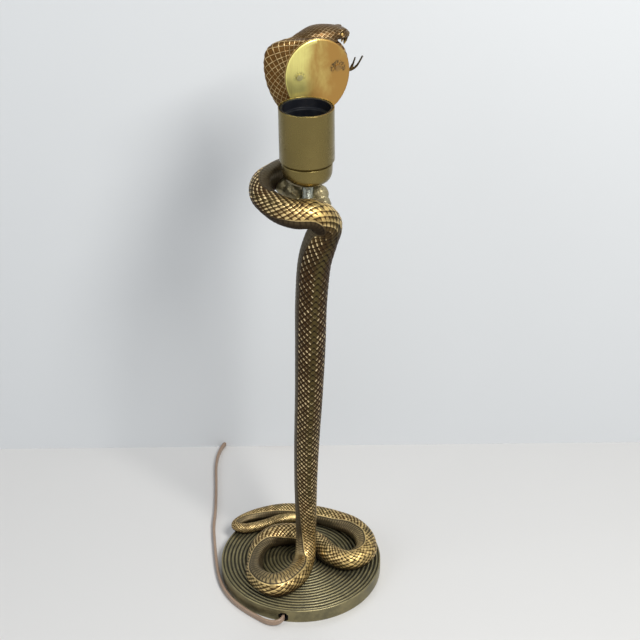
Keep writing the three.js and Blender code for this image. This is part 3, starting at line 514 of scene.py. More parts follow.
class Recipe(Nodes):
    """A material's node tree."""

    def __init__(self, name: str) -> None:
        """Starts a material with a shader and its output.

        Args:
            name: the material's name.
        """
        self.material = bpy.data.materials.new(name)
        self.material.use_nodes = True
        super().__init__(self.material.node_tree)
        self.shader = self.node("BsdfPrincipled", {})
        self.output = self.node("OutputMaterial", {0: self.shader.outputs[0]})
        place = self.node("TexCoord", {}).outputs["Object"]
        self.where = self.node("Mapping", {"Vector": place, "Scale": (1 / MM,) * 3}).outputs[0]

    def noise(
        self,
        size: float,
        detail: float = 3.0,
        rough: float = 0.55,
        stretch: tuple[float, float, float] = (1, 1, 1),
        warp: float = 0.0,
    ) -> bpy.types.NodeSocket:
        """Cloudy variation.

        Args:
            size: the usual width of a cloud, in millimetres.
            detail: how many finer layers it has.
            rough: how strong those layers are.
            stretch: how much longer clouds are along each axis.
            warp: how much the clouds are bent.

        Returns:
            A value around 0.5.
        """
        scale = tuple(1 / (size * s) for s in stretch)
        place = self.node("Mapping", {"Vector": self.where, "Scale": scale}).outputs[0]
        clouds = {"Scale": 1.0, "Detail": detail, "Roughness": rough, "Distortion": warp}
        return self.node("TexNoise", {"Vector": place, **clouds}).outputs[0]

    def carried(self, name: str) -> bpy.types.NodeSocket:
        """A number that the mesh carries at its points."""
        return self.node("Attribute", {}, attribute_name=name).outputs["Fac"]

    def edges(self) -> bpy.types.NodeSocket:
        """How far the surface stands out, around 0.5."""
        return self.node("NewGeometry", {}).outputs["Pointiness"]

    def span(
        self, value: object, low: float, high: float, to: tuple[float, float] = (0, 1)
    ) -> bpy.types.NodeSocket:
        """Stretches the values from low to high over the range to, and holds them in it."""
        inputs = {"Value": value, "From Min": low, "From Max": high, "To Min": to[0], "To Max": to[1]}
        return self.node("MapRange", inputs, interpolation_type="SMOOTHSTEP").outputs["Result"]

    def add(self, *terms: object) -> bpy.types.NodeSocket:
        """Adds values up.

        Args:
            *terms: the values.

        Returns:
            Their sum.
        """
        total = terms[0]
        for term in terms[1:]:
            total = self.math("ADD", total, term)
        return total

    def minus(self, a: object, b: object) -> bpy.types.NodeSocket:
        """Takes b from a."""
        return self.math("SUBTRACT", a, b)

    def times(self, a: object, b: object) -> bpy.types.NodeSocket:
        """Multiplies two values."""
        return self.math("MULTIPLY", a, b)

    def blend(self, share: object, a: object, b: object) -> bpy.types.NodeSocket:
        """Mixes two colours: a where share is 0, b where it is 1.

        Args:
            share: how much of b shows.
            a: a colour.
            b: another colour.

        Returns:
            The mixed colour.
        """
        node = self.node("Mix", {"Factor": share}, data_type="RGBA")
        first, second = (socket for socket in node.inputs if socket.type == "RGBA")
        self.put(first, a)
        self.put(second, b)
        return next(socket for socket in node.outputs if socket.type == "RGBA")

    def relief(self, height: object, depth: float) -> None:
        """Adds fine bumps of a depth in millimetres."""
        bumps = self.node("Bump", {"Strength": 1.0, "Distance": depth * MM, "Height": height})
        self.put(self.shader.inputs["Normal"], bumps.outputs[0])

    def finish(self, **sockets: object) -> bpy.types.Material:
        """Sets the shader's sockets, with _ for a space in their names, and gives the material."""
        for key, value in sockets.items():
            self.put(self.shader.inputs[key.replace("_", " ")], value)
        return self.material


Colour = tuple[float, float, float]


@dataclass(frozen=True)
class CastBronze:
    """Cast bronze with brown lacquer left in the hollows and rubbed bright on what stands out.

    cloud, patch and speck are the sizes of its variations, in millimetres. Relief runs from 0 in
    the hollows to 1 on the crests: up to hollow_to the lacquer darkens it, and from crest_from it
    is rubbed, everywhere by least_worn and in patches by worn. Where the mesh is dull, a painted
    highlight set by glow adds to the crests and they take the colour glint; the body there also
    darkens towards a brown that is partly painted shade.
    """

    name: str = "cast_bronze"
    hollow: Colour = (0.010, 0.005, 0.002)
    face: Colour = (0.120, 0.066, 0.022)
    olive: Colour = (0.100, 0.074, 0.028)
    bright: Colour = (0.76, 0.54, 0.20)
    glint: Colour = (0.90, 0.74, 0.46)
    # Painted shade in part: the darker brown where the mesh is dull, which marks less-rubbed metal and
    # also shaded undersides and inner walls.
    patina_and_shade: Colour = (0.042, 0.021, 0.008)
    smooth_band: Colour = (0.105, 0.085, 0.052)
    moss: Colour = (0.110, 0.088, 0.030)
    metal: float = 0.88
    worn: float = 0.75
    least_worn: float = 0.22
    painted_glow: float = 0.28
    crest_from: float = 0.84
    hollow_to: float = 0.72
    grain: float = 0.05
    cloud: float = 26.0
    patch: float = 6.0
    speck: float = 0.7

    def material(self) -> bpy.types.Material:
        """Builds the material; it reads relief, tone, plain, dull and moss, which its meshes carry.

        Returns:
            The material.
        """
        r = Recipe(self.name)
        clouds = r.noise(self.cloud, 4)
        patches = r.noise(self.patch, 5, 0.6, warp=0.4)
        specks = r.noise(self.speck, 4, 0.7)
        relief, tone, dull = r.carried("relief"), r.carried("tone"), r.carried("dull")
        body = r.blend(r.span(clouds, 0.35, 0.65), self.face, self.olive)
        # Painted shade in part: the body darkens where dull is high, and dull is raised where the skin
        # faces down or sideways.
        body = r.blend(r.span(dull, 0.30, 0.80, (0, 0.8)), body, self.patina_and_shade)
        body = r.blend(r.carried("moss"), body, self.moss)
        body = r.blend(r.times(r.carried("plain"), 0.85), body, self.smooth_band)
        wear = r.add(r.times(tone, 0.35), r.times(patches, 0.9))
        rubbed = r.times(r.span(wear, 0.35, 0.95), self.worn)
        edge = r.times(r.span(r.edges(), 0.50, 0.56), 0.45)
        # Painted highlight: where the mesh is dull the crests are brightened more, standing in for
        # light caught on the scales' edges.
        rubbed = r.add(rubbed, edge, self.least_worn, r.times(dull, self.painted_glow))
        proud = r.add(relief, r.times(r.minus(1.0, dull), 0.30))
        crest = r.times(rubbed, r.span(proud, self.crest_from, 1.0))
        # Dull crests take the glint colour, part of the painted highlight.
        shown = r.blend(crest, body, r.blend(dull, self.bright, self.glint))
        depth = r.add(relief, r.times(r.minus(patches, 0.5), 0.35))
        colour = r.blend(r.span(depth, 0.12, self.hollow_to), self.hollow, shown)
        dusted = r.blend(r.span(specks, 0.60, 0.82, (0, 0.45)), colour, self.hollow)
        rough = r.add(r.span(patches, 0.3, 0.7, (0.0, 0.16)), r.span(relief, 0.2, 0.9, (0.58, 0.30)))
        r.relief(r.add(specks, r.times(patches, 0.6)), self.grain)
        return r.finish(Base_Color=dusted, Roughness=rough, Metallic=self.metal)


@dataclass(frozen=True)
class PolishedPlate:
    """Polished sheet brass, brushed up and down, tarnished to one side, with a painted highlight on the
    other side and painted shade below, and stained at its rivets.
    """

    name: str = "polished_plate"
    # The bright brass; where the mask is low it also shows the painted highlight.
    bright: Colour = (0.88, 0.80, 0.27)
    brown: Colour = (0.44, 0.245, 0.065)
    stain: Colour = (0.10, 0.07, 0.035)
    stroke_depth: float = 0.006

    def material(self) -> bpy.types.Material:
        """Builds the material; it reads the numbers tarnish and stain that the plate carries.

        Returns:
            The material.
        """
        r = Recipe(self.name)
        strokes = r.noise(0.35, 3, 0.6, (1, 1, 40))
        clouds = r.noise(9, 4, 0.55, (1, 1, 1.8), 0.3)
        fine = r.noise(1.2, 4, 0.65)
        # The carried mask holds tarnish with painted highlight and painted shade in it; the clouds are
        # tarnish.
        tarnish_and_painted_light = r.add(r.carried("tarnish_and_painted_light"), r.times(r.minus(clouds, 0.5), 0.9))
        body = r.blend(r.span(tarnish_and_painted_light, 0.1, 0.95), self.bright, self.brown)
        body = r.blend(r.span(strokes, 0.45, 0.75, (0, 0.22)), body, self.brown)
        mark = r.times(r.carried("stain"), r.span(fine, 0.38, 0.58))
        body = r.blend(mark, body, self.stain)
        rough = r.add(r.span(clouds, 0.3, 0.7, (0.28, 0.40)), r.times(mark, 0.35))
        r.relief(strokes, self.stroke_depth)
        return r.finish(Base_Color=body, Roughness=rough, Metallic=0.85, Anisotropic=0.3)


@dataclass(frozen=True)
class PlainMetal:
    """Sheet or turned metal with faint brushing and handling marks."""

    name: str
    colour: Colour
    dull: Colour
    rough: float = 0.34
    metal: float = 0.95
    stroke: tuple[float, float, float] = (1, 1, 30)
    stroke_depth: float = 0.004

    def material(self) -> bpy.types.Material:
        """Builds the material.

        Returns:
            The material.
        """
        r = Recipe(self.name)
        strokes = r.noise(0.3, 3, 0.6, self.stroke)
        clouds = r.noise(11, 4, 0.6, warp=0.5)
        specks = r.noise(0.8, 3, 0.7)
        body = r.blend(r.span(clouds, 0.38, 0.68), self.colour, self.dull)
        body = r.blend(r.span(specks, 0.66, 0.80, (0, 0.5)), body, self.dull)
        smears = r.span(clouds, 0.35, 0.65, (0.0, 0.09))
        rough = r.add(smears, r.times(strokes, 0.08), self.rough - 0.08)
        r.relief(strokes, self.stroke_depth)
        return r.finish(Base_Color=body, Roughness=rough, Metallic=self.metal)


@dataclass(frozen=True)
class Moulded:
    """Moulded plastic, resin, porcelain or felt, with a fine skin texture and dust."""

    name: str
    colour: Colour
    worn: Colour
    rough: float = 0.4
    grain: float = 0.5
    depth: float = 0.01
    sheen: float = 0.0
    shine: float = 0.5

    def material(self) -> bpy.types.Material:
        """Builds the material.

        Returns:
            The material.
        """
        r = Recipe(self.name)
        clouds = r.noise(14, 4, 0.6, warp=0.4)
        skin = r.noise(self.grain, 4, 0.7)
        body = r.blend(r.span(clouds, 0.36, 0.70, (0, 0.7)), self.colour, self.worn)
        body = r.blend(r.span(r.edges(), 0.51, 0.58, (0, 0.6)), body, self.worn)
        rough = r.span(clouds, 0.3, 0.7, (self.rough - 0.06, self.rough + 0.08))
        r.relief(skin, self.depth)
        return r.finish(
            Base_Color=body, Roughness=rough, Sheen_Weight=self.sheen, Specular_IOR_Level=self.shine
        )


@dataclass(frozen=True)
class Finishes:
    """Every finish on the lamp, made once."""

    bronze: bpy.types.Material
    hood: bpy.types.Material
    lumps: bpy.types.Material
    disc: bpy.types.Material
    plate: bpy.types.Material
    satin: bpy.types.Material
    rivet: bpy.types.Material
    brown_rivet: bpy.types.Material
    contact: bpy.types.Material
    steel: bpy.types.Material
    porcelain: bpy.types.Material
    resin: bpy.types.Material
    felt: bpy.types.Material
    sheath: bpy.types.Material
    brown: bpy.types.Material

    @classmethod
    def made(cls) -> "Finishes":
        """Builds them all.

        Returns:
            The set of finishes.
        """
        return cls(
            bronze=CastBronze().material(),
            hood=CastBronze(
                "hood_bronze", face=(0.165, 0.075, 0.016), olive=(0.115, 0.060, 0.016),
                patina_and_shade=(0.072, 0.040, 0.015), bright=(0.52, 0.37, 0.16), glint=(0.46, 0.35, 0.20),
                painted_glow=0.0,
            ).material(),
            lumps=CastBronze(
                "rough_bronze", face=(0.20, 0.172, 0.098), olive=(0.165, 0.145, 0.085),
                bright=(0.40, 0.34, 0.19), worn=0.3, metal=0.7, grain=0.14,
            ).material(),
            disc=CastBronze(
                "disc_bronze", face=(0.108, 0.097, 0.052), olive=(0.082, 0.078, 0.050),
                bright=(0.33, 0.28, 0.14), worn=0.45, metal=0.75, grain=0.04,
            ).material(),
            plate=PolishedPlate().material(),
            satin=PlainMetal(
                "satin_brass_sheet", (0.205, 0.158, 0.056), (0.192, 0.148, 0.053), 0.26
            ).material(),
            rivet=PlainMetal(
                "dull_rivet_brass", (0.62, 0.56, 0.26), (0.42, 0.38, 0.19), 0.42
            ).material(),
            brown_rivet=PlainMetal(
                "brown_rivet_brass", (0.46, 0.27, 0.08), (0.18, 0.11, 0.05), 0.45
            ).material(),
            contact=PlainMetal(
                "contact_brass_sheet", (0.60, 0.43, 0.17), (0.40, 0.27, 0.11), 0.34
            ).material(),
            steel=PlainMetal("zinc_steel", (0.42, 0.45, 0.40), (0.26, 0.27, 0.23), 0.38).material(),
            porcelain=Moulded(
                "glazed_porcelain", (0.72, 0.69, 0.62), (0.50, 0.46, 0.38), 0.32
            ).material(),
            resin=Moulded(
                "black_moulded_resin", (0.003, 0.004, 0.007), (0.012, 0.013, 0.016), 0.42, shine=0.2
            ).material(),
            felt=Moulded(
                "green_felt", (0.025, 0.045, 0.028), (0.06, 0.07, 0.05), 0.95, grain=0.3, depth=0.25,
                sheen=0.4,
            ).material(),
            sheath=Moulded(
                "taupe_flex_sheath", (0.34, 0.235, 0.165), (0.27, 0.185, 0.13), 0.33, grain=0.8
            ).material(),
            brown=Moulded(
                "brown_moulded_plastic", (0.050, 0.026, 0.015), (0.10, 0.06, 0.04), 0.36
            ).material(),
        )


def dress(piece: bpy.types.Object, finish: bpy.types.Material) -> None:
    """Gives a piece one finish all over.

    Args:
        piece: the piece.
        finish: its new material.
    """
    slots = piece.data.materials
    if not slots:
        slots.append(finish)
    for i in range(len(slots)):
        slots[i] = finish


def settle(
    piece: bpy.types.Object, finish: bpy.types.Material, slot: Slot, *nodes: str, body: Part = Part.LAMP
) -> bpy.types.Object:
    """Finishes a new piece and says what it rides on and stands for.

    Args:
        piece: the new piece.
        finish: its material.
        slot: the record's slot for its finish; not used.
        *nodes: the nodes that it stands for.
        body: what it rides on.

    Returns:
        The same piece.
    """
    dress(piece, finish)
    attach(piece, body.value)
    if nodes:
        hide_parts(*nodes)
    log.info("%s: %d points", piece.name, len(piece.data.vertices))
    return piece


def keep(finish: bpy.types.Material, *nodes: str, rounding: float = 0.0) -> None:
    """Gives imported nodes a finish, and where it helps softly rounded edges.

    Args:
        finish: the material.
        *nodes: the names of the nodes.
        rounding: how wide the edges are rounded, in millimetres.
    """
    for name in nodes:
        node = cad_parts[name]
        dress(node, finish)
        if rounding:
            soft = node.modifiers.new("rounding", "BEVEL")
            soft.width = rounding * MM
            soft.segments = 2
            soft.limit_method = "ANGLE"
            soft.angle_limit = math.radians(40)
        log.info("%s: finished as packed", name)


@dataclass(frozen=True)
class SubAssembly:
    """A part of the lamp that takes its looks from the finishes."""

    finishes: Finishes


@dataclass(frozen=True)
class Base(SubAssembly):
    """The ridged disc that the snake stands on, and its felt.

    top and wall are how thick it is, pitch and depth are those of the ridges, and band is how
    wide the plain ring outside them is. step is how finely the ridges are drawn.
    """

    radius: float = 68.0
    height: float = 12.2
    top: float = 4.2
    wall: float = 5.5
    bevel: float = 1.0
    under_bevel: float = 0.5
    bulge: float = 0.25
    pitch: float = 3.2
    depth: float = 0.9
    band: float = 3.4
    felt: float = 1.5
    felt_gap: float = 0.3
    felt_inset: float = 2.5
    segments: int = 300
    step: float = 0.22
    hole_x: float = -14.0
    hole_z: float = 5.2
    hole_radius: float = 3.6

    def profile(self) -> tuple[np.ndarray, np.ndarray]:
        """The disc's outline from the middle of its underside round to the middle of its top.

        Returns:
            The (radius, height) rows, and how much each stands out, from 0 to 1.
        """
        ceiling = self.height - self.top
        inner = self.radius - self.wall
        ledge = self.felt + self.felt_gap
        lip = self.radius - self.felt_inset
        foot = self.radius - self.under_bevel
        rows = [(0, ceiling), (inner, ceiling), (inner, ledge), (lip, ledge), (lip, 0), (foot, 0)]
        out = [0.3] * len(rows)
        for z in np.linspace(self.under_bevel, self.height - self.bevel, 12):
            rows.append((self.radius - self.bulge * (1 - math.sin(math.pi * z / self.height)), z))
            out.append(0.75)
        for a in np.linspace(0, math.pi / 2, 7)[1:]:
            turn = self.radius - self.bevel * (1 - math.cos(a)) - 0.05
            rows.append((turn, self.height - self.bevel * (1 - math.sin(a))))
            out.append(1.0)
        ridges = self.radius - self.band
        for r in np.arange(ridges + self.pitch / 2, 1.0, -self.step):
            rise = (0.5 + 0.5 * math.cos(2 * math.pi * (r - ridges) / self.pitch)) ** 0.9
            rows.append((r, self.height - self.depth * (1 - rise)))
            out.append(0.30 + 0.65 * rise)
        rows.append((0, self.height - self.depth))
        out.append(0.2)
        return np.array(rows), np.array(out)

    def build(self) -> None:
        """Turns the disc, cuts the flex's hole through its rim and finishes the felt."""
        rows, out = self.profile()
        surface = Surface.turned(rows, self.segments)
        angle = circle(self.segments)[None]
        ring = np.concatenate([out, out[:1]])[:, None] + 0 * angle
        surface.carry("relief", ring)
        surface.carry("tone", 0.5 + 0.5 * np.sin(angle * 5 + ring * 9) * np.sin(angle * 13 + 2))
        disc = surface.mesh("ridged_disc")
        points = mesh_points(disc)
        wobble = 0.10 * np.sin(points[:, 0] * 0.21 + 1) * np.sin(points[:, 1] * 0.17)
        top = smooth((points[:, 2] - self.height + 2.5) / 1.5)
        points[:, 2] += wobble * top * (np.hypot(points[:, 0], points[:, 1]) < self.radius - 3)
        reshape(disc, points)
        self.pierce(disc)
        settle(disc, self.finishes.disc, Slot.BRONZE, "base_disc")
        keep(self.finishes.felt, "base_felt")

    def pierce(self, disc: bpy.types.Object) -> None:
        """Cuts the flex's rough hole through the rim.

        Args:
            disc: the whole disc, which gets the hole.
        """
        y = -math.sqrt(self.radius**2 - self.hole_x**2)
        out = np.array([self.hole_x, y, 0]) / self.radius
        side = np.cross(out, [0, 0, 1])
        angle = circle(28)
        ragged = self.hole_radius * (1 + 0.05 * np.sin(3 * angle + 1) + 0.04 * np.sin(7 * angle))
        rings = []
        for distance in (self.radius - self.wall - 3, self.radius - 0.8, self.radius + 3):
            flare = 1.0 if distance < self.radius - 1 else 1.08
            centre = out * distance + np.array([0, 0, self.hole_z])
            ring = centre + np.outer(np.cos(angle) * ragged * flare, side)
            ring[:, 2] += np.sin(angle) * ragged * flare
            rings.append(ring)
        cutter = Surface.of_rings(np.array(rings)).mesh("rim_hole")
        cut = disc.modifiers.new("hole", "BOOLEAN")
        cut.operation = "DIFFERENCE"
        cut.solver = "EXACT"
        cut.object = cutter
        applied(disc)
        bpy.data.objects.remove(cutter)


@dataclass(frozen=True)
class Station:
    """A place on the snake's run.

    half is half the body's width, back is where the scaled back faces, belly is how far the
    underside reaches for a half width of one, and dull is how little the crests are rubbed; it
    also sets how much painted shade darkens the body and how much painted highlight the crests take.
    """

    x: float
    y: float
    z: float
    half: float
    back: tuple[float, float, float]
    belly: float = 0.74
    dull: float = 0.45


@dataclass(frozen=True)
class SnakeBody(SubAssembly):
    """The snake's body from the hood down the column and through the coils to the tail.

    seat and loop are heights; the column ends bend under the loop and starts foot over the seat.
    Angles are off the back's middle: the scales end in a lip, which is lip_wide and lies lip_more
    further round where the column bends over; crease is how far under it a groove runs, and ridge
    is how far the mossy row along the back reaches. columns is how many columns of scales cross
    the back. scale_length, relief and the seams' widths are shares of the body's half width or of
    a scale.
    """

    seat: float = 12.5
    loop: float = 337.0
    bend: float = 28.6
    foot: float = 50.0
    lip: float = math.radians(66)
    lip_wide: float = math.radians(3.0)
    lip_more: float = math.radians(15)
    crease: float = math.radians(7)
    ridge: float = math.radians(15)
    columns: float = 8.0
    scale_length: float = 0.43
    relief: float = 0.062
    seam: float = 0.10
    dull_seam: float = 0.03
    per_scale: int = 12
    per_column: int = 10
    belly_points: int = 26

    @property
    def column_top(self) -> float:
        """Height where the column ends and the upper loop starts."""
        return self.seat + self.loop - self.bend

    @property
    def column_foot(self) -> float:
        """Height where the column leaves the lower coil."""
        return self.seat + self.foot

    def rising(self, share: float) -> float:
        """Height of a share of the column."""
        return self.column_foot + (self.column_top - self.column_foot) * share

    def upper(self, rise: float) -> float:
        """Height counted from the top of the upper loop."""
        return self.seat + self.loop + rise

    def lying(
        self,
        x: float,
        y: float,
        half: float,
        back: tuple[float, float, float],
        lift: float = 0.0,
        belly: float = 0.92,
        dull: float = 0.3,
    ) -> Station:
        """A station of the body where it lies on the disc, lifted by lift."""
        return Station(x, y, self.seat + half * 0.9 + lift, half, back, belly, dull)

    def neck(self) -> list[Station]:
        """Stations from the hood down to the column.

        Returns:
            The stations in order.
        """
        up = self.upper
        return [
            Station(11.6, 34.28, up(52), 9.8, (-0.3, 0.95, 0), dull=0.95),
            Station(11.6, 34.28, up(44), 11.99, (-0.2, 0.97, 0), dull=0.9),
            Station(8.8, 33.48, up(26.5), 11, (0.1, 1, -0.1), dull=0.75),
            Station(0.5, 29.88, up(13), 10.4, (-0.1, 1, -0.3)),
            Station(-11.6, 19.5, up(11), 10, (-0.6, 0.8, 0)),
            Station(-21.9, 6, up(10.4), 9.1, (-0.95, 0.25, 0.2)),
            Station(-22.3, -8, up(6.8), 8.8, (-0.85, -0.2, 0.4), dull=0.65),
            Station(-11.4, -17.5, up(1.6), 10, (-0.4, -0.45, 0.75), dull=0.45),
            Station(2.2, -20.5, up(-2.2), 10.8, (-0.05, -0.4, 0.9), dull=0.2),
            Station(15.1, -18.5, up(-3.5), 11, (0.25, -0.45, 0.85), dull=0.0),
            Station(23.8, -13, up(-14), 11.6, (0.6, -0.6, 0.45), dull=0.35),
        ]

    def column(self) -> list[Station]:
        """Stations down the column and round the front and left loop.

        Returns:
            The stations in order.
        """
        rising = self.rising
        lying = self.lying
        return [
            Station(19.9, -10, self.column_top, 12.6, (0.55, -0.83, 0.1), dull=0.65),
            Station(15.3, -9, rising(0.93), 12.4, (0.34, -0.94, 0), dull=0.95),
            Station(12.3, -8, rising(0.8), 12.1, (0.24, -0.97, 0), dull=0.8),
            Station(11, -7, rising(0.64), 11.8, (0.2, -0.98, 0), dull=0.75),
            Station(9.2, -6, rising(0.46), 11, (0.2, -0.98, 0), dull=0.7),
            Station(7, -5, rising(0.29), 10.2, (0.22, -0.975, 0), dull=0.65),
            Station(5.6, -4.5, rising(0.13), 9.4, (0.3, -0.95, 0), dull=0.6),
            Station(5.1, -4, self.column_foot, 8.7, (0.55, -0.83, 0), dull=0.4),
            Station(4.4, -4.6, self.seat + 24.5, 8.6, (0.8, -0.6, 0.05), dull=0.25),
            lying(3, -14.5, 9, (0.85, -0.5, -0.05), 1.2, dull=0.1),
            lying(-4.5, -35.5, 9.7, (0.72, -0.62, -0.25), dull=0.1),
            lying(-20.9, -46.5, 9.8, (0, -0.9, -0.42), dull=0.15),
            lying(-35.2, -34.8, 8.8, (-0.68, -0.6, -0.38), belly=0.8),
            lying(-37.5, -14.5, 7.7, (-0.97, 0.05, -0.2), belly=0.7),
            lying(-33.5, 5.5, 8.4, (-0.75, 0.25, 0.6), belly=0.8),
            lying(-22.5, 17.5, 9.2, (-0.2, 0.0, 0.97)),
            lying(-4, 19, 9.2, (0, -0.1, 0.98)),
            lying(12.5, 9, 8.7, (0.2, 0, 0.97)),
            lying(26.6, -8.5, 8.5, (-0.1, -0.5, 0.85)),
        ]

    def tail(self) -> list[Station]:
        """Stations round the right and rear loops to the tail's end.

        Returns:
            The stations in order.
        """
        lying = self.lying
        return [
            lying(42, -15, 8.5, (0.1, -0.75, 0.6), dull=0.1),
            lying(54.8, -5, 8.7, (0.75, -0.4, 0.5), dull=0.1),
            lying(54.8, 11.5, 9, (0.85, 0.2, 0.45), dull=0.2),
            lying(45.5, 28, 8.8, (0.5, 0.5, 0.7)),
            lying(28.5, 39.5, 8.4, (0.15, 0.35, 0.92)),
            lying(8, 49, 7.6, (0, 0.3, 0.95)),
            lying(-14.4, 54.6, 6.5, (0, 0.3, 0.95)),
            lying(-36.5, 51.2, 5.6, (-0.2, 0.5, 0.85)),
            lying(-51.6, 44, 4.8, (-0.7, 0.5, 0.5)),
            lying(-56.8, 37.2, 4.5, (-0.95, -0.2, 0.3)),
            lying(-50, 32.8, 4.5, (0, -0.7, 0.7)),
            lying(-34.4, 36.6, 4.6, (0.2, -0.7, 0.7)),
            lying(-18.7, 43.5, 4.9, (0.2, -0.6, 0.75)),
            lying(-3, 48, 4.6, (0.2, -0.5, 0.8)),
        ]

    def section(self) -> dict[str, np.ndarray]:
        """The body's section for a half width of one, from the right edge over the back.

        Returns:
            across and out, the points; turn, the angle off the back's middle; low, 1 where the
            belly's reach counts and 0 above.
        """
        step = math.pi / self.columns / self.per_column
        half = int(round(math.pi / 2 / step))
        turn = np.arange(-half, half + 1) * step
        t = np.linspace(0, math.pi, self.belly_points + 2)[1:-1]
        c = np.cos(t)
        return {
            "across": np.concatenate([np.sin(-turn), -np.sign(c) * np.abs(c) ** 0.9]),
            "out": np.concatenate([np.cos(turn), -np.sin(t) ** 0.5]),
            "turn": np.concatenate([turn, 0 * t + math.pi]),
            "low": np.concatenate([0 * turn, 0 * t + 1]),
        }

    def rings(self) -> dict[str, np.ndarray]:
        """Where the rings of the whole run lie, spaced so that each scale has as many.

        Returns:
            path, side, up, radius, belly and dull at each ring; row, the place counted in
            scales; and at, the place counted in stations.
        """
        stations = self.neck() + self.column() + self.tail()
        last = len(stations) - 1
        at = np.linspace(0, last, last * 60 + 1)
        places = np.array([(s.x, s.y, s.z) for s in stations], float)
        backs = unit(np.array([s.back for s in stations], float))
        sizes = np.array([(s.half, s.belly, s.dull) for s in stations], float)
        path = through(places, at)
        radius = through(sizes, at, 0.4)[:, 0]
        length = np.linalg.norm(np.diff(path, axis=0), axis=1)
        lengths = self.scale_length * (radius[1:] + radius[:-1]) / 2
        scales = np.concatenate([[0], np.cumsum(length / lengths)])
        row = np.arange(0, int(scales[-1]) * self.per_scale + 1) / self.per_scale
        where = np.interp(row, scales, at)
        path = through(places, where)
        side, up = frames(path, through(backs, where, 0.4))
        size = through(sizes, where, 0.4)
        return {
            "path": path, "side": side, "up": up, "radius": size[:, 0], "belly": size[:, 1],
            "dull": size[:, 2], "row": row, "at": where,
        }

    def skin(self) -> tuple[np.ndarray, dict[str, np.ndarray], np.ndarray]:
        """The whole body's skin with its scales, lips and fine lines raised.

        Returns:
            The rings of points, the numbers that the finish reads at them, and the rings'
            places counted in stations.
        """
        s = self.section()
        r = self.rings()
        row = r["row"][:, None]
        turn = s["turn"][None]
        column = turn * self.columns / math.pi
        # Each scale rises towards its free edge and drops there, with seams to its neighbours.
        cell_row, cell_column, _ = lozenges(row, column)
        tone = scatter(cell_row * 2, cell_column * 2)
        middle = cell_column == 0
        outward = np.where(middle, np.abs(column), (column - cell_column) * np.sign(cell_column))
        slope = row - cell_row + outward
        dull = r["dull"][:, None]
        seam = bump((0.5 - np.abs(row - cell_row - outward)) / (self.seam + self.dull_seam * dull))
        raised = 0.54 + 0.48 * np.clip(slope + 0.5, 0, 1) ** 1.3 - 0.46 * smooth((slope - 0.42) / 0.07)
        raised += 0.10 * (tone - 0.5) - (0.34 + 0.16 * dull) * seam - 0.12 * dull * middle
        # A lip with a groove under it ends the scales, further round where the column bends over,
        # and past it the underside is plain but for fine lines.
        twist = r["at"][:, None] - len(self.neck()) - 0.6
        lip_at = self.lip + self.lip_more * bump(twist / 1.2)
        past = (np.abs(turn) - lip_at) / self.lip_wide
        plain = smooth(past + 0.5) + 0 * row
        line = np.abs(np.mod(row * 1.5 + 0.5 * np.cos(turn), 1.0) - 0.5)
        low = 0.50 + 0.18 * smooth(line / 0.25)
        height = raised * (1 - plain) + low * plain
        lip = bump(past - 0.4)
        height = height * (1 - lip) + (0.98 - 0.55 * dull) * lip
        height -= 0.18 * bump((np.abs(turn) - lip_at - self.crease) / self.lip_wide)
        # The tail's end is smooth, and the coils are flat where they rest on the disc.
        fade = smooth((r["at"][-1] - r["at"]) / 1.6)[:, None]
        height = height * fade + 0.75 * (1 - fade)
        size = r["radius"][:, None] * (1 + self.relief * (height - 0.85))
        reach = 1 + s["low"][None] * (r["belly"][:, None] - 1)
        swollen = swept(r["path"], s["across"] * size, s["out"] * reach * size, r["side"], r["up"])
        seated = r["at"] > len(self.neck()) + 5
        floor = np.where(seated, self.seat - 0.15, -np.inf)[:, None]
        swollen[..., 2] = np.maximum(swollen[..., 2], floor)
        # Painted shade: where the skin faces down or sideways its relief, smooth band and rubbing are
        # lowered, so it shows darker.
        facing = s["across"] * r["side"][:, 2:] + s["out"] * r["up"][:, 2:]
        shade = smooth((0.15 - facing) / 0.8) * (0.4 + 0.6 * plain)
        shade += 0.5 * smooth(-facing / 0.6) * (1 - plain)
        values = {
            "relief": height * (1 - 0.45 * shade),
            "tone": tone * (1 - plain) + 0.4 * plain,
            "plain": plain * (1 - 0.75 * shade),
            "dull": np.clip(dull + 0.6 * shade, 0, 1),
            "moss": 0.8 * dull * bump(turn / self.ridge),
        }
        return swollen, values, r["at"]

    def build(self) -> None:
        """Makes the three lengths of the body, which meet where the castings meet."""
        rings, values, at = self.skin()
        first = len(self.neck())
        second = first + len(self.column()) - 1
        lengths = [
            ("neck_skin", 0.45, first, "neck_casting"),
            ("column_skin", first, second, "column_casting"),
            ("tail_skin", second, at[-1], "tail_casting"),
        ]
        for name, start, end, node in lengths:
            i = int(np.searchsorted(at, start))
            j = min(int(np.searchsorted(at, end)), len(at) - 1)
            surface = Surface.of_rings(rings[i : j + 1])
            for key, numbers in values.items():
                surface.carry(key, numbers[i : j + 1])
            settle(surface.mesh(name), self.finishes.bronze, Slot.BRONZE, node)
        keep(self.finishes.steel, "column_nipple", "tail_pin", "neck_pin")


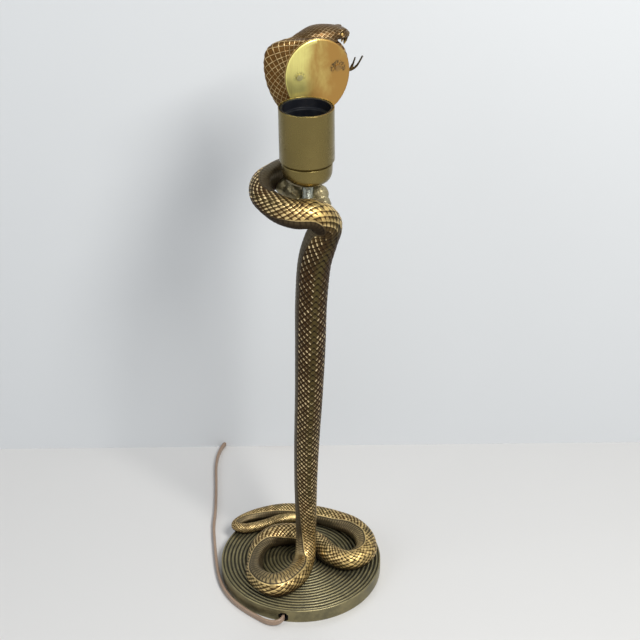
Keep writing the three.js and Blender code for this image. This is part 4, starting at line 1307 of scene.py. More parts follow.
@dataclass(frozen=True)
class Hood(SubAssembly):
    """The spread hood, the head over it, the polished plate and the tongue.

    The hood's own frame has u along the plate to the right, w into the hood and z up. eye_at and
    nostrils are in it, with heights from the hood's top; fangs has their names and their w.
    rivets has the places of the plate's rivets, from its middle, with the strength and the radius
    of the stain round each.
    """

    turn: float = math.radians(20)
    origin: tuple[float, float] = (18.5, 27.9)
    foot: float = 393.5
    height: float = 68.0
    plate_rise: float = 41.5
    plate_half: float = 24.2
    plate_upper: float = 25.5
    plate_lower: float = 30.0
    plate_thick: float = 1.2
    voxel: float = 0.38
    relief: float = 0.62
    groove: float = 0.55
    scale_tall: float = 5.6
    scale_wide: float = 4.3
    head_scale_long: float = 4.2
    head_scale_wide: float = 2.6
    round_plate: float = 33.0
    ring_depth: float = 10.5
    plate_depth: float = -0.15
    eye_radius: float = 1.7
    eye_at: tuple[float, float] = (20.8, -0.4)
    nostrils: tuple[tuple[float, float, float], ...] = ((26.8, 6.3, -2.3), (26.8, 11.6, -2.3))
    fangs: tuple[tuple[str, float], ...] = (("fang_near", 7.0), ("fang_far", 12.0))
    rivets: tuple[tuple[float, float, float, float], ...] = (
        (-14.0, -0.8, 0.5, 3.0), (15.2, 2.6, 1.7, 4.2),
    )

    def place(self, u: np.ndarray, w: np.ndarray, z: np.ndarray) -> np.ndarray:
        """Turns places in the hood's frame into places on the lamp.

        Args:
            u: places along the plate.
            w: places into the hood.
            z: heights.

        Returns:
            The places, with x, y and z on a new last axis.
        """
        u, w, z = np.broadcast_arrays(*(np.asarray(q, float) for q in (u, w, z)))
        c, s = math.cos(self.turn), math.sin(self.turn)
        return np.stack([self.origin[0] + u * c - w * s, self.origin[1] + u * s + w * c, z], -1)

    def local(self, points: np.ndarray) -> tuple[np.ndarray, np.ndarray, np.ndarray]:
        """Turns places on the lamp into the hood's u, w and z.

        Args:
            points: places on the lamp, one row each.

        Returns:
            Their u, w and z.
        """
        x, y = points[:, 0] - self.origin[0], points[:, 1] - self.origin[1]
        c, s = math.cos(self.turn), math.sin(self.turn)
        return x * c + y * s, -x * s + y * c, points[:, 2]

    @property
    def top(self) -> float:
        """Height of the hood's top."""
        return self.foot + self.height

    @property
    def plate_z(self) -> float:
        """Height of the plate's middle."""
        return self.foot + self.plate_rise

    def hood(self) -> Surface:
        """The hood's plain shape: flat where the plate lies, round behind.

        Returns:
            The closed surface.
        """
        rows = np.array([
            (0.004, 13.5, 4.5, 20, 17), (0.12, 16, 8.5, 25, 18), (0.23, 18.8, 13.5, 31, 19.5),
            (0.35, 21.5, 19, 36.5, 21), (0.48, 23.6, 23, 40.5, 22), (0.62, 24.4, 24.3, 43, 22),
            (0.75, 24, 23.6, 44, 21), (0.86, 22.5, 20.5, 43, 18.5), (0.94, 19, 15.5, 39, 15),
            (0.99, 13, 9, 28, 11),
        ])
        fine = through(rows, np.linspace(0, len(rows) - 1, 60), 0.5)
        t = np.linspace(0, 1, 22)[:, None]

        def bend(*pulls: tuple[float, float]) -> np.ndarray:
            """A curve from the first point to the last, pulled by the two between."""
            a, b, c, d = (np.array(q) for q in pulls)
            return a * (1 - t) ** 3 + 3 * b * t * (1 - t) ** 2 + 3 * c * t**2 * (1 - t) + d * t**3

        rings = []
        for share, left, right, bulge, depth in fine:
            back = -0.15 * left
            near = bend(
                (right, 0), (right + 2.5, depth * 0.62), (back + right * 0.75, depth), (back, depth)
            )
            far = bend(
                (back, depth), (back - bulge * 0.62, depth), (-bulge * 1.16, depth * 0.52), (-left, 0)
            )
            front = np.stack([np.linspace(-left, right, 12)[1:-1], np.zeros(10)], -1)
            outline = np.vstack([near, far[1:], front])
            rings.append(self.place(outline[:, 0], outline[:, 1], self.foot + self.height * share))
        return Surface.of_rings(np.array(rings))

    def horn(self, rows: list[tuple[float, ...]]) -> Surface:
        """A tapering form with egg-shaped sections.

        Args:
            rows: (u, w, height above the hood's top, half width, half height) of each section.

        Returns:
            The closed surface.
        """
        table = np.array(rows, float)
        at = np.linspace(0, len(rows) - 1, (len(rows) - 1) * 8 + 1)
        centres = self.place(table[:, 0], table[:, 1], self.top + table[:, 2])
        path = through(centres, at)
        size = np.maximum(through(table[:, 3:], at, 0.5), 0.2)
        side, up = frames(path, np.array([0, 0, 1.0]))
        a = circle(28)
        across, out = size[:, :1] * np.cos(a), size[:, 1:] * np.sin(a)
        return Surface.of_rings(swept(path, across, out, side, up))

    def egg(self, u: float, w: float, rise: float, size: tuple[float, float, float]) -> Surface:
        """An egg-shaped swelling on the head, with its size along u, w and z.

        Args:
            u: its middle's place along the plate.
            w: its middle's place into the hood.
            rise: its middle's height above the hood's top.
            size: half its size each way.

        Returns:
            The closed surface.
        """
        along, across, high = ball(20, 12)
        height = self.top + rise + size[2] * high
        return Surface.of_rings(self.place(u + size[0] * along, w + size[1] * across, height))

    def shapes(self) -> list[Surface]:
        """The plain shapes that the hood and head are fused from.

        Returns:
            Closed surfaces that overlap.
        """
        skull = self.horn([
            (-18, 11.5, -9.5, 5, 4), (-12, 11.5, -7.6, 8.5, 6), (-5, 11, -4.6, 10, 6.6),
            (3, 11, -1.6, 10, 6.6), (12, 10.5, -1.3, 10, 5.9), (20, 10, -1.9, 8, 4.9),
            (25, 9.2, -3.3, 5.4, 3.8), (27.6, 8.6, -4.2, 2.6, 2.2),
        ])
        jaw = self.horn([
            (-4, 12, -14, 8, 5), (6, 11.5, -20, 8, 4), (14, 11, -26.5, 6.5, 3), (19.5, 11, -30, 4, 2),
            (22, 11, -31, 1.5, 1),
        ])
        cheeks = [self.egg(11, w, -3.5, (6, 2.4, 3.6)) for w in (4.5, 17)]
        brows = [self.egg(20.5, w, 1.2, (4.2, 1.8, 1.5)) for w in (5.2, 14.8)]
        return [self.hood(), skull, jaw, *cheeks, *brows]

    def pattern(self, points: np.ndarray) -> tuple[np.ndarray, np.ndarray, np.ndarray]:
        """Scales with raised outlines that flow round the plate and over to the head.

        Args:
            points: the fused skin's points.

        Returns:
            1 on a scale's outline, below 0 beside it and 0 on its face; the scale's tone; and how
            far each point lies outside the plate's edge.
        """
        u, w, z = self.local(points)
        along = np.arctan2(z - self.plate_z, -u)
        rho = np.hypot(u, z - self.plate_z)
        half = np.where(z > self.plate_z, self.plate_upper, self.plate_lower)
        edge = self.plate_half * half / np.hypot(half * np.cos(along), self.plate_half * np.sin(along))
        middle = edge - 1.0
        curl = np.arctan2(rho - middle, self.ring_depth - w) % (2 * math.pi)
        past = rho > middle
        across = np.where(past, self.ring_depth * curl, self.ring_depth * math.pi + middle - rho)
        behind = (rho < 0.80 * edge) & (w > 7)
        row = np.where(behind, z / 0.9, along * self.round_plate) / self.scale_tall
        column = np.where(behind, u / 0.9, across) / self.scale_wide
        cell_row, cell_column, off = lozenges(row, column)
        inside = 0.5 - off
        outline = 1 - smooth((inside - 0.03) / 0.08) - 0.5 * bump((inside - 0.15) / 0.06)
        return outline, scatter(cell_row * 2, cell_column * 2), rho - edge

    def head_pattern(self, points: np.ndarray) -> np.ndarray:
        """Small scales along the head: 1 on their outlines and 0 on their faces.

        Args:
            points: the fused skin's points.

        Returns:
            One number for each point.
        """
        u, w, z = self.local(points)
        turn = np.arctan2(w - 11, z - (self.top - 3))
        off = lozenges(u / self.head_scale_long, turn * 9 / self.head_scale_wide)[2]
        return 1 - smooth((0.46 - off) / 0.12)

    def build(self) -> None:
        """Builds the hood with its head, the plate, the fangs, the eyes and the tongue."""
        skin = fused("hood_skin", self.shapes(), self.voxel, 9)
        points = mesh_points(skin)
        normals = mesh_normals(skin)
        u, w, z = self.local(points)
        outline, tone, outside = self.pattern(points)
        small = self.head_pattern(points)
        # The head has small scales and a calmer snout, and what the plate covers stays plain.
        head = smooth((z - (self.top - 9.5)) / 6) * smooth((u + 16) / 14)
        calm = smooth((u - 14) / 10) * head
        near_foot = smooth((self.foot + 15 - z) / 14)
        shown = np.maximum(smooth((w - 0.9) / 0.8), smooth((outside - 0.4) / 0.5))
        height = (0.42 + 0.58 * outline * (0.7 + 0.3 * tone)) * (1 - head)
        height += (0.62 + 0.26 * small) * head
        height = height * (1 - 0.6 * calm) + 0.8 * 0.6 * calm
        height = height * shown + 0.9 * (1 - shown)
        # The mouth, the eyes' sockets and the nostrils are sunk into it.
        mouth = bump((z - (self.top - 6.6 + 0.05 * u)) / self.groove)
        mouth *= smooth((u - 6) / 4) * smooth((30 - u) / 2)
        deep = self.relief * (height - 1.0) * shown - self.groove * mouth
        eye = [self.surface_at(points, normals, *self.eye_at, near) for near in (True, False)]
        for centre, _ in eye:
            distance = np.linalg.norm(points - centre, axis=1)
            deep += self.groove * bump((distance - 2.5) / self.groove) - 0.5 * bump(distance / 1.9, 4)
        for along, across, rise in self.nostrils:
            centre = self.place(along, across, self.top + rise)
            deep -= 0.8 * bump(np.linalg.norm(points - centre, axis=1) / 0.8)
        moved = points + normals * deep[:, None]
        u, w, z = self.local(moved)
        reshape(skin, self.place(u, np.maximum(w, 0.15), np.minimum(z, CAD_BOX[1].z / MM - 0.02)))
        carry(skin, "relief", np.clip(0.32 + 0.64 * height + 0.06 * tone - 0.7 * mouth, 0, 1))
        carry(skin, "tone", tone * (1 - head) + 0.35 * head)
        carry(skin, "dull", 0.40 + 0.45 * head + 0.55 * near_foot)
        settle(skin, self.finishes.hood, Slot.BRONZE, "hood_casting")
        for name, (centre, normal) in zip(("near", "far"), eye, strict=True):
            self.eye(f"eye_{name}", centre, normal)
        for name, across in self.fangs:
            self.fang(name, across)
        self.tongue()
        self.plate()
        keep(self.finishes.rivet, "plate_rivet_left", rounding=0.15)
        keep(self.finishes.brown_rivet, "plate_rivet_right", rounding=0.15)

    def surface_at(
        self, points: np.ndarray, normals: np.ndarray, u: float, rise: float, near: bool
    ) -> tuple[np.ndarray, np.ndarray]:
        """The point of the head's side at a place along it, and the normal there.

        Args:
            points: the fused skin's points.
            normals: the normals there.
            u: the place along the head.
            rise: the height above the hood's top.
            near: whether it is the side nearer the plate's front.

        Returns:
            The point and its normal.
        """
        lu, lw, lz = self.local(points)
        close = (np.abs(lu - u) < 0.8) & (np.abs(lz - self.top - rise) < 0.8)
        chosen = np.flatnonzero(close)
        best = chosen[np.argmin(lw[chosen]) if near else np.argmax(lw[chosen])]
        return points[best], normals[best]

    def eye(self, name: str, centre: np.ndarray, normal: np.ndarray) -> None:
        """A domed eye with an upright pupil in its socket.

        Args:
            name: the piece's name.
            centre: the socket's middle.
            normal: where the eye looks.
        """
        side = unit(np.cross(normal, [0, 0, 1.0]))
        up = np.cross(side, normal)
        count = 32
        a = circle(count)
        across, upward = self.eye_radius * np.cos(a), self.eye_radius * np.sin(a)
        rings = []
        for q in np.linspace(0.05, 1, 14):
            high = 0.75 * math.sqrt(max(0.0, 1 - q * q)) - 0.55
            slit = 0.35 * bump(q * np.cos(a) / 0.16) * (q < 0.8)
            flat = centre + np.outer(q * across, side) + np.outer(q * upward, up)
            rings.append(flat + np.outer(high - slit, normal))
        rings.append(rings[-1] - normal * 0.9)
        surface = Surface.of_rings(np.array(rings))
        surface.carry("relief", np.repeat(np.linspace(0.9, 0.35, len(rings)), count))
        surface.carry("tone", np.full(len(rings) * count, 0.9))
        settle(surface.mesh(name), self.finishes.bronze, Slot.BRONZE)

    def fang(self, name: str, across: float) -> None:
        """A fang that curves back from the upper jaw.

        Args:
            name: the piece's name.
            across: its place into the hood.
        """
        t = np.linspace(0, 1, 16)
        path = self.place(24.6 - 1.6 * t**2, across + 0 * t, self.top - 3.2 - 6.7 * t)
        size = 1.7 * (1 - t) ** 0.6 + 0.2
        side, up = frames(path, np.array([1.0, 0.3, 0]))
        a = circle(16)
        rings = swept(path, size[:, None] * np.cos(a), size[:, None] * np.sin(a), side, up)
        surface = Surface.of_rings(rings)
        surface.carry("relief", np.repeat(0.35 + 0.4 * t, len(a)))
        surface.carry("tone", np.full(len(t) * len(a), 0.2))
        settle(surface.mesh(name), self.finishes.bronze, Slot.BRONZE)

    def tongue(self) -> None:
        """The forked tongue, flat at its root and curling up at its two tips."""

        def rod(rows: list[tuple[float, ...]], sizes: tuple[float, float]) -> Surface:
            """A flattened rod that tapers from one size to the other.

            Args:
                rows: (u, w, height above the hood's top) of its points.
                sizes: its first and last half width.

            Returns:
                The closed surface.
            """
            table = np.array(rows, float)
            count = 40
            at = np.linspace(0, len(rows) - 1, count)
            path = through(self.place(table[:, 0], table[:, 1], self.top + table[:, 2]), at)
            size = np.linspace(sizes[0], sizes[1], count)[:, None]
            side, up = frames(path, np.array([0.2, 0.1, 1.0]))
            a = circle(14)
            across, out = 1.15 * size * np.cos(a), 0.8 * size * np.sin(a)
            return Surface.of_rings(swept(path, across, out, side, up))

        fork = [(19, 10, -29), (27, 7, -30)]
        rods = [
            rod([(4, 12, -20), (12, 11.5, -25), *fork], (1.6, 1.5)),
            rod([*fork, (32, 5.8, -27.5), (36.8, 4.7, -19.7)], (1.5, 0.75)),
            rod([*fork, (30, 7.5, -26.5), (32.1, 7.5, -21)], (1.4, 0.7)),
        ]
        tongue = fused("forked_tongue", rods, 0.22, 3)
        count = len(tongue.data.vertices)
        carry(tongue, "relief", np.full(count, 0.45))
        carry(tongue, "tone", np.full(count, 0.3))
        settle(tongue, self.finishes.bronze, Slot.BRONZE, "tongue")

    def plate(self) -> None:
        """The polished plate: an egg-shaped sheet with eased edges."""
        a = circle(240)
        half = np.where(np.sin(a) > 0, self.plate_upper, self.plate_lower)
        rim = 1 - 0.07 * np.cos(np.linspace(0, 1.57, 9))[1:]
        front = np.concatenate([np.linspace(0.012, 0.93, 60), rim])
        eased = 0.35 * smooth((front - 0.965) / 0.035)
        depth = self.plate_depth - self.plate_thick + eased
        depth = np.concatenate([depth, [-0.5, -0.16, self.plate_depth, self.plate_depth]])[:, None]
        reach = np.concatenate([front, [1.0, 0.995, 0.5, 0.012]])[:, None]
        u = self.plate_half * reach * np.cos(a)
        dz = half * reach * np.sin(a)
        surface = Surface.of_rings(self.place(u, depth, self.plate_z + dz))
        # Tarnish grows towards the right; the bright left side is tarnish and painted highlight
        # together, the left rim kept bright is a painted highlight, and the darkening towards the
        # bottom is painted shade.
        tarnish_and_painted_light = 0.75 * smooth((u + 17) / 18) + 0.15 * smooth((u - 2) / 14)
        tarnish_and_painted_light += 0.25 * smooth((-dz - 8) / 14)
        surface.carry("tarnish_and_painted_light", tarnish_and_painted_light * (1 - 0.8 * smooth((reach - 0.86) / 0.1) * (u < 0)))
        stain = np.zeros_like(u)
        for ru, rz, strength, wide in self.rivets:
            distance = np.hypot(u - ru, dz - rz)
            angle = np.arctan2(dz - rz, u - ru)
            open_below = smooth((np.sin(angle) + 0.75) / 0.5)
            stain += strength * bump((distance - wide) / 1.3) * open_below
        surface.carry("stain", np.clip(stain, 0, 1))
        sheet = surface.mesh("reflector_plate")
        settle(sheet, self.finishes.plate, Slot.POLISHED, "hood_plate")


@dataclass(frozen=True)
class StemBoss(SubAssembly):
    """The rough lumps of the casting round the foot of the threaded stem.

    Each of the waves that roughen it has a direction, a start and a height.
    """

    x: float = 10.5
    y: float = 0.0
    top: float = 349.0
    radius: float = 8.0
    depth: float = 18.5
    waves: tuple[tuple[tuple[float, float, float], float, float], ...] = (
        ((1.1, 0.4, 0.7), 0.3, 0.14),
        ((-0.6, 1.3, 0.9), 1.1, 0.14),
        ((2.3, -1.7, 2.1), 2.0, 0.08),
        ((-3.1, 2.4, 3.3), 0.7, 0.06),
    )

    def egg(self, dx: float, dy: float, dz: float, size: tuple[float, float, float]) -> Surface:
        """An egg-shaped lump, placed from the stem at the loop's height.

        Args:
            dx: its middle's place, counted from the stem.
            dy: the same along y.
            dz: the same upwards.
            size: half its size each way.

        Returns:
            The closed surface.
        """
        high, one, two = ball(24, 14)
        middle = np.array([self.x + dx, self.y + dy, self.top + 0.5 + dz])
        return Surface.of_rings(middle + np.stack([size[0] * one, size[1] * two, size[2] * high], -1))

    def build(self) -> None:
        """Fuses the boss and its lumps and roughens them."""
        low = self.top - self.depth
        r = self.radius
        outline = [
            (0, low), (r - 1.6, low), (r, low + 4), (r, self.top - 1), (r - 1, self.top),
            (0, self.top),
        ]
        post = Surface.turned(outline, 48, self.x, self.y)
        lumps = [
            self.egg(-10.5, 7, 1.5, (8, 6.8, 8.2)),
            self.egg(-17, 13, 4, (7, 7, 6.5)),
            self.egg(8, 5.5, 0.5, (7.6, 6.4, 8.2)),
            self.egg(11.5, 1.5, -5.5, (5.6, 7, 7)),
            self.egg(-2, 7, -5, (9.5, 4.5, 5)),
        ]
        boss = fused("stem_boss", [post, *lumps], 0.5, 6)
        points = mesh_points(boss)
        rough = sum(
            np.sin(points @ np.array(direction) + start) * height
            for direction, start, height in self.waves
        )
        reshape(boss, points + mesh_normals(boss) * (0.55 * rough)[:, None])
        carry(boss, "relief", np.clip(0.86 + rough * 0.7, 0.1, 1))
        carry(boss, "tone", np.full(len(points), 0.4))
        settle(boss, self.finishes.lumps, Slot.BRONZE)


@dataclass(frozen=True)
class Lampholder(SubAssembly):
    """The screw lampholder: dome, sleeve, liner, stem and the contacts inside.

    seam is the height where the sleeve meets the dome, which is slimmer by step. shell and stem
    are radii, and a pitch is the rise of one turn of a thread.
    """

    x: float = 10.5
    y: float = 0.0
    seam: float = 381.0
    radius: float = 20.0
    sleeve: float = 39.7
    wall: float = 0.8
    dome: float = 18.0
    step: float = 1.5
    collar: float = 7.0
    liner: float = 1.5
    ledge: float = 7.8
    shell: float = 14.2
    shell_long: float = 20.0
    shell_pitch: float = 3.6
    shell_wave: float = 0.62
    shell_thick: float = 0.42
    stem: float = 4.2
    stem_bore: float = 3.1
    stem_low: float = 344.5
    stem_long: float = 26.0
    stem_pitch: float = 1.0
    stem_wave: float = 0.32
    gap: float = 0.3
    segments: int = 128

    def turn(self, name: str, profile: list[tuple[float, float]]) -> bpy.types.Object:
        """Turns a closed profile about the holder's axis."""
        return Surface.turned(profile, self.segments, self.x, self.y).mesh(name)

    def circles(self, radius: np.ndarray | float, z: np.ndarray, a: np.ndarray) -> np.ndarray:
        """Rings of points about the holder's axis, at the heights z and the angles a."""
        x, y = self.x + radius * np.cos(a), self.y + radius * np.sin(a)
        return np.stack(np.broadcast_arrays(x, y, z[:, None]), -1)

    def rounded(self, corners: list[tuple[float, float, float]]) -> list[tuple[float, float]]:
        """Rounds the corners of a closed outline.

        Args:
            corners: (radius, height, rounding) rows.

        Returns:
            The rounded outline.
        """
        made = []
        count = len(corners)
        for i, (r, z, ease) in enumerate(corners):
            here = np.array([r, z])
            if ease == 0:
                made.append((r, z))
                continue
            before = np.array(corners[i - 1][:2])
            after = np.array(corners[(i + 1) % count][:2])
            start = here + (before - here) * min(1, ease / max(np.linalg.norm(before - here), 1e-9))
            end = here + (after - here) * min(1, ease / max(np.linalg.norm(after - here), 1e-9))
            for t in np.linspace(0, 1, 5):
                made.append(tuple((1 - t) ** 2 * start + 2 * t * (1 - t) * here + t**2 * end))
        return made

    def build(self) -> None:
        """Builds what shows of the holder and finishes what is packed inside."""
        seam, rim = self.seam, self.seam + self.sleeve
        outer = self.radius
        inner = outer - self.wall
        foot = seam + 0.1
        outline = [(outer, foot, 0.25), (outer, rim, 0.3), (inner, rim, 0.3), (inner, foot, 0.2)]
        sleeve = self.turn("sleeve_shell", self.rounded(outline))
        settle(sleeve, self.finishes.satin, Slot.SATIN, "holder_sleeve", body=Part.SLEEVE)
        self.build_dome()
        self.build_stem()
        skirt = inner - self.gap
        low = seam + self.collar + self.gap
        high = rim - 0.3
        ledge = rim - self.ledge
        bore = self.shell + 2 * self.gap
        outline = [
            (skirt, low, 0.2), (skirt, high, 0.5), (skirt - self.liner, high, 0.6),
            (skirt - self.liner, ledge + 0.6, 0.4), (bore + 0.5, ledge, 0.4), (bore, low, 0.2),
        ]
        liner = self.turn("liner_skirt", self.rounded(outline))
        settle(liner, self.finishes.resin, Slot.RESIN, "liner_ring", body=Part.LINER)
        self.build_shell()
        keep(self.finishes.steel, "stem_lock_nut", rounding=0.3)
        keep(self.finishes.porcelain, "contact_block", rounding=0.3)
        contacts = ("live_terminal_screw", "neutral_terminal_screw", "centre_contact")
        keep(self.finishes.contact, *contacts, rounding=0.15)

    def build_dome(self) -> None:
        """The domed cap under the sleeve, with the step that the sleeve seats on."""
        collar = self.radius - self.wall - self.gap
        edge = self.radius - self.step
        groove = edge - 1.2
        inner = collar - 1.2
        seam = self.seam
        foot = seam - self.dome
        shape = np.array([[0.24, 0], [0.5, 0.02], [0.76, 0.11], [0.92, 0.27], [0.985, 0.5], [1, 0.88]])
        curve = through(shape, np.linspace(0, len(shape) - 1, 40), 0.5)
        outside = [(edge * r, foot + self.dome * z) for r, z in curve]
        hole = self.stem + self.gap
        outside[0] = (hole, foot)
        profile = outside + [
            (edge - 0.1, seam - 2.1), (groove, seam - 1.9), (groove, seam - 0.5),
            (collar, seam - 0.45), (collar, seam + self.collar), (inner, seam + self.collar),
            (inner, seam - 4.2), (edge * 0.86, foot + self.dome * 0.38),
            (edge * 0.7, foot + self.dome * 0.2), (edge * 0.5, foot + self.dome * 0.1),
            (hole, foot + self.dome * 0.1),
        ]
        dome = self.turn("dome_cap", profile)
        settle(dome, self.finishes.satin, Slot.SATIN, "holder_dome")

    def build_stem(self) -> None:
        """The threaded tube between the casting and the holder."""
        per_turn = 8
        steps = int(self.stem_long / self.stem_pitch * per_turn)
        z = self.stem_low + np.arange(steps + 1) / per_turn * self.stem_pitch
        a = circle(64)
        wave = np.abs(np.mod(z[:, None] / self.stem_pitch + a / (2 * math.pi), 1.0) - 0.5) * 2
        rings = self.circles(self.stem - self.stem_wave * wave, z, a)
        inside = self.circles(self.stem_bore, z[[-1, 0]], a)
        surface = Surface.of_rings(np.concatenate([rings, inside, rings[:1]]), ends=False)
        settle(surface.mesh("stem_tube"), self.finishes.steel, Slot.STEEL, "threaded_stem")

    def build_shell(self) -> None:
        """The brass screw shell, with the rounded thread that takes the lamp's cap."""
        low = self.seam + self.collar
        high = low + self.shell_long
        z = np.linspace(low, high, 90)
        a = circle(96)
        wave = 0.5 + 0.5 * np.cos(2 * math.pi * (z[:, None] / self.shell_pitch + a / (2 * math.pi)))
        calm = smooth((high - 1.2 - z) / 1.5) * smooth((z - low - 0.6) / 1.5)
        radius = self.shell - self.shell_wave * (1 - wave * calm[:, None])
        outside = self.circles(radius, z, a)
        inside = self.circles(radius - self.shell_thick, z, a)[::-1]
        surface = Surface.of_rings(np.concatenate([outside, inside, outside[:1]]), ends=False)
        shell = surface.mesh("threaded_shell")
        settle(shell, self.finishes.contact, Slot.CONTACT, "screw_shell")


@dataclass(frozen=True)
class Flex(SubAssembly):
    """The flat twin flex, standing on its edge, with its switch, its tied coil and its plug.

    lie is the height of its middle where it lies on the table. The coil starts at coil_start,
    an angle, and has as many layers as its turns fill with turns_wide side by side. strap_at is
    the angle of the strap round them, and strap_half is half the strap's width.
    """

    width: float = 4.8
    thick: float = 2.7
    groove: float = 0.22
    rim: float = 68.0
    exit_x: float = -14.0
    exit_z: float = 5.2
    hole: float = 3.4
    wall: float = 5.5
    lie: float = 2.6
    switch_x: float = -13.0
    switch_y: float = 197.0
    switch_long: float = 58.0
    coil_x: float = 50.0
    coil_y: float = 231.3
    coil_radius: float = 29.0
    coil_start: float = -2.0
    coil_turns: float = 6.55
    per_turn: int = 20
    turns_wide: int = 3
    gap: float = 0.15
    strap_at: float = math.radians(75.6)
    strap_thick: float = 0.85
    strap_half: float = 2.2
    strap_ease: float = 0.3
    plug_x: float = -2.0
    plug_y: float = 245.3
    plug_z: float = 6.5

    def outward(self, distance: float) -> tuple[float, float, float]:
        """A point straight out of the hole in the rim."""
        y = math.sqrt(self.rim**2 - self.exit_x**2)
        return (self.exit_x * distance / self.rim, -y * distance / self.rim, self.exit_z)

    def run(self) -> list[tuple[float, float, float]]:
        """The points of the stretch from the rim to the coil.

        Returns:
            The points in order.
        """
        z = self.lie
        left = self.switch_x - self.switch_long / 2
        right = self.switch_x + self.switch_long / 2
        return [
            self.outward(self.rim - 0.5), self.outward(self.rim + 0.8),
            (-15.6, -70.1, 5.1), (-18.4, -71.9, 4.7), (-21.8, -72.1, 4.1), (-28.5, -69.2, 3.0),
            (-34.5, -64.6, z), (-46.5, -54.6, z), (-56.5, -43.6, z), (-64.2, -30.6, z), (-69.2, -16, z),
            (-72.4, 0.5, z), (-75.2, 22, z), (-78.2, 53, z), (-78.2, 75, z), (-79.6, 109, z),
            (-81.6, 144, z), (-80.4, 162, z), (-76, 177, z), (-68, 188.5, z), (-56, 195, z),
            *((x, self.switch_y, z) for x in (left - 4.3, left - 0.3, right + 0.3, right + 4.3)),
        ]

    def coil(self) -> list[tuple[float, float, float]]:
        """The points of the coil's turns, side by side and in layers.

        Returns:
            The points in order.
        """
        points = []
        for i in range(int(self.coil_turns * self.per_turn) + 1):
            turn = i / self.per_turn
            layer = int(turn // self.turns_wide)
            within = turn - layer * self.turns_wide
            inward = within if layer % 2 == 0 else self.turns_wide - within
            radius = self.coil_radius + (self.turns_wide / 2 - inward) * (self.thick + self.gap) + 1.0
            height = self.lie
            if layer:
                height += (layer - 1 + float(smooth(within / 0.35))) * self.width
            angle = self.coil_start + turn * 2 * math.pi
            x, y = radius * math.cos(angle), radius * math.sin(angle)
            points.append((self.coil_x + x, self.coil_y + y, height))
        return points

    def path(self) -> np.ndarray:
        """The flex's whole centreline, from the rim to the plug.

        Returns:
            Its points, evenly spaced.
        """
        tail = [
            (46, 261.6, 12.2), (39, 264.2, 11.6), (33, 265.9, 8.0), (27, 265.4, 4.2),
            (20.5, 262.4, 2.8), (14.5, 257.5, 3.0), (9.5, 252, 4.2), (4.3, 247.4, 5.9),
            (self.plug_x + 0.3, self.plug_y, self.plug_z),
        ]
        points = np.array(self.run() + self.coil() + tail, float)
        return evenly(through(points, np.linspace(0, len(points) - 1, len(points) * 14)), 1.6)

    def bush(self) -> None:
        """The resin bushing, set back in the hole through the rim."""
        deep = self.rim - self.wall - 1
        bore = self.width / 2 + 0.2
        flange, shoulder = self.hole + 0.6, deep + 0.7
        surface = Surface.turned([
            (bore, deep), (flange, deep), (flange, shoulder), (self.hole, shoulder),
            (self.hole, self.rim - 1.3), (bore + 0.4, self.rim - 1.0), (bore, self.rim - 1.4),
        ], 40)
        out = np.array(self.outward(1)) * [1, 1, 0]
        side = np.cross(out, [0, 0, 1.0])
        surface.points = surface.points @ np.array([side, [0, 0, 1.0], out]) + [0, 0, self.exit_z]
        settle(surface.mesh("rim_bush"), self.finishes.resin, Slot.RESIN, "rim_bushing")

    def tie(self) -> bpy.types.Object:
        """The strap round the coil's turns on its far side.

        Returns:
            The strap.
        """
        half_wide = self.turns_wide * (self.thick + self.gap) / 2 + 1.1
        low, high = self.gap, self.lie + self.width * 2.5 + 0.35
        middle, half_high = (low + high) / 2, (high - low) / 2
        a = circle(48)
        square = (np.abs(np.cos(a)) ** 8 + np.abs(np.sin(a)) ** 8) ** (-1 / 8)
        thick, wide = self.strap_thick, self.strap_half
        thin, narrow = thick - 0.15, wide - self.strap_ease
        inner = 0.1
        outline = [
            (thin, -wide), (thick, -narrow), (thick, narrow), (thin, wide), (inner, wide),
            (inner, -wide), (thin, -wide),
        ]
        rings = []
        for off, along in outline:
            turn = self.strap_at + along / self.coil_radius
            out = self.coil_radius - 0.45 + (half_wide + off) * np.cos(a) * square
            up = np.maximum(middle + (half_high + off) * np.sin(a) * square, 0.05)
            x, y = self.coil_x + out * math.cos(turn), self.coil_y + out * math.sin(turn)
            rings.append(np.stack([x, y, up], -1))
        strap = Surface.of_rings(np.array(rings), ends=False).mesh("coil_tie")
        return settle(strap, self.finishes.resin, Slot.RESIN)

    def build(self) -> None:
        path = self.path()
        side, up = frames(path, np.array([0, 0, 1.0]))
        a = circle(24)
        core = self.thick / 2
        spread = self.width / 2 - core
        groove = self.groove * bump(np.sin(a) / self.groove)
        across = core * np.cos(a) * (1 - groove)
        out = core * np.sin(a) + spread * np.clip(np.sin(a) * 2.2, -1, 1)
        ones = np.ones((len(path), 1))
        cord = Surface.of_rings(swept(path, across * ones, out * ones, side, up)).mesh("mains_flex")
        stretches = ("flex_open_run", "flex_to_coil", "flex_coil", "flex_to_plug")
        settle(cord, self.finishes.sheath, Slot.SHEATH, *stretches)
        self.bush()
        strap = self.tie()
        mouldings = ("switch_housing", "switch_rocker", "plug_body")
        pins = ("plug_pin_live", "plug_pin_neutral")
        keep(self.finishes.brown, *mouldings, "cord_clip", rounding=0.5)
        keep(self.finishes.contact, *pins, rounding=0.4)
        keep(self.finishes.sheath, "mains_lead")


@dataclass(frozen=True)
class SoftLight:
    """A soft square light that faces the lamp.

    azimuth is in degrees to the right of the camera's side and height in degrees above the
    floor; far and size are in metres, and power is in watts.
    """

    name: str
    azimuth: float
    height: float
    far: float
    size: float
    power: float
    tint: Colour

    def build(self) -> None:
        """Hangs the light and points it at the middle of the lamp."""
        data = bpy.data.lights.new(self.name, "AREA")
        data.size = self.size
        data.energy = self.power
        data.color = self.tint
        light = placed(self.name, data)
        a, e = math.radians(self.azimuth), math.radians(self.height)
        to = Vector((math.sin(a) * math.cos(e), -math.cos(a) * math.cos(e), math.sin(e)))
        light.location = Vector((0, 0, 0.22)) + to * self.far
        light.rotation_mode = "QUATERNION"
        light.rotation_quaternion = to.to_track_quat("Z", "Y")


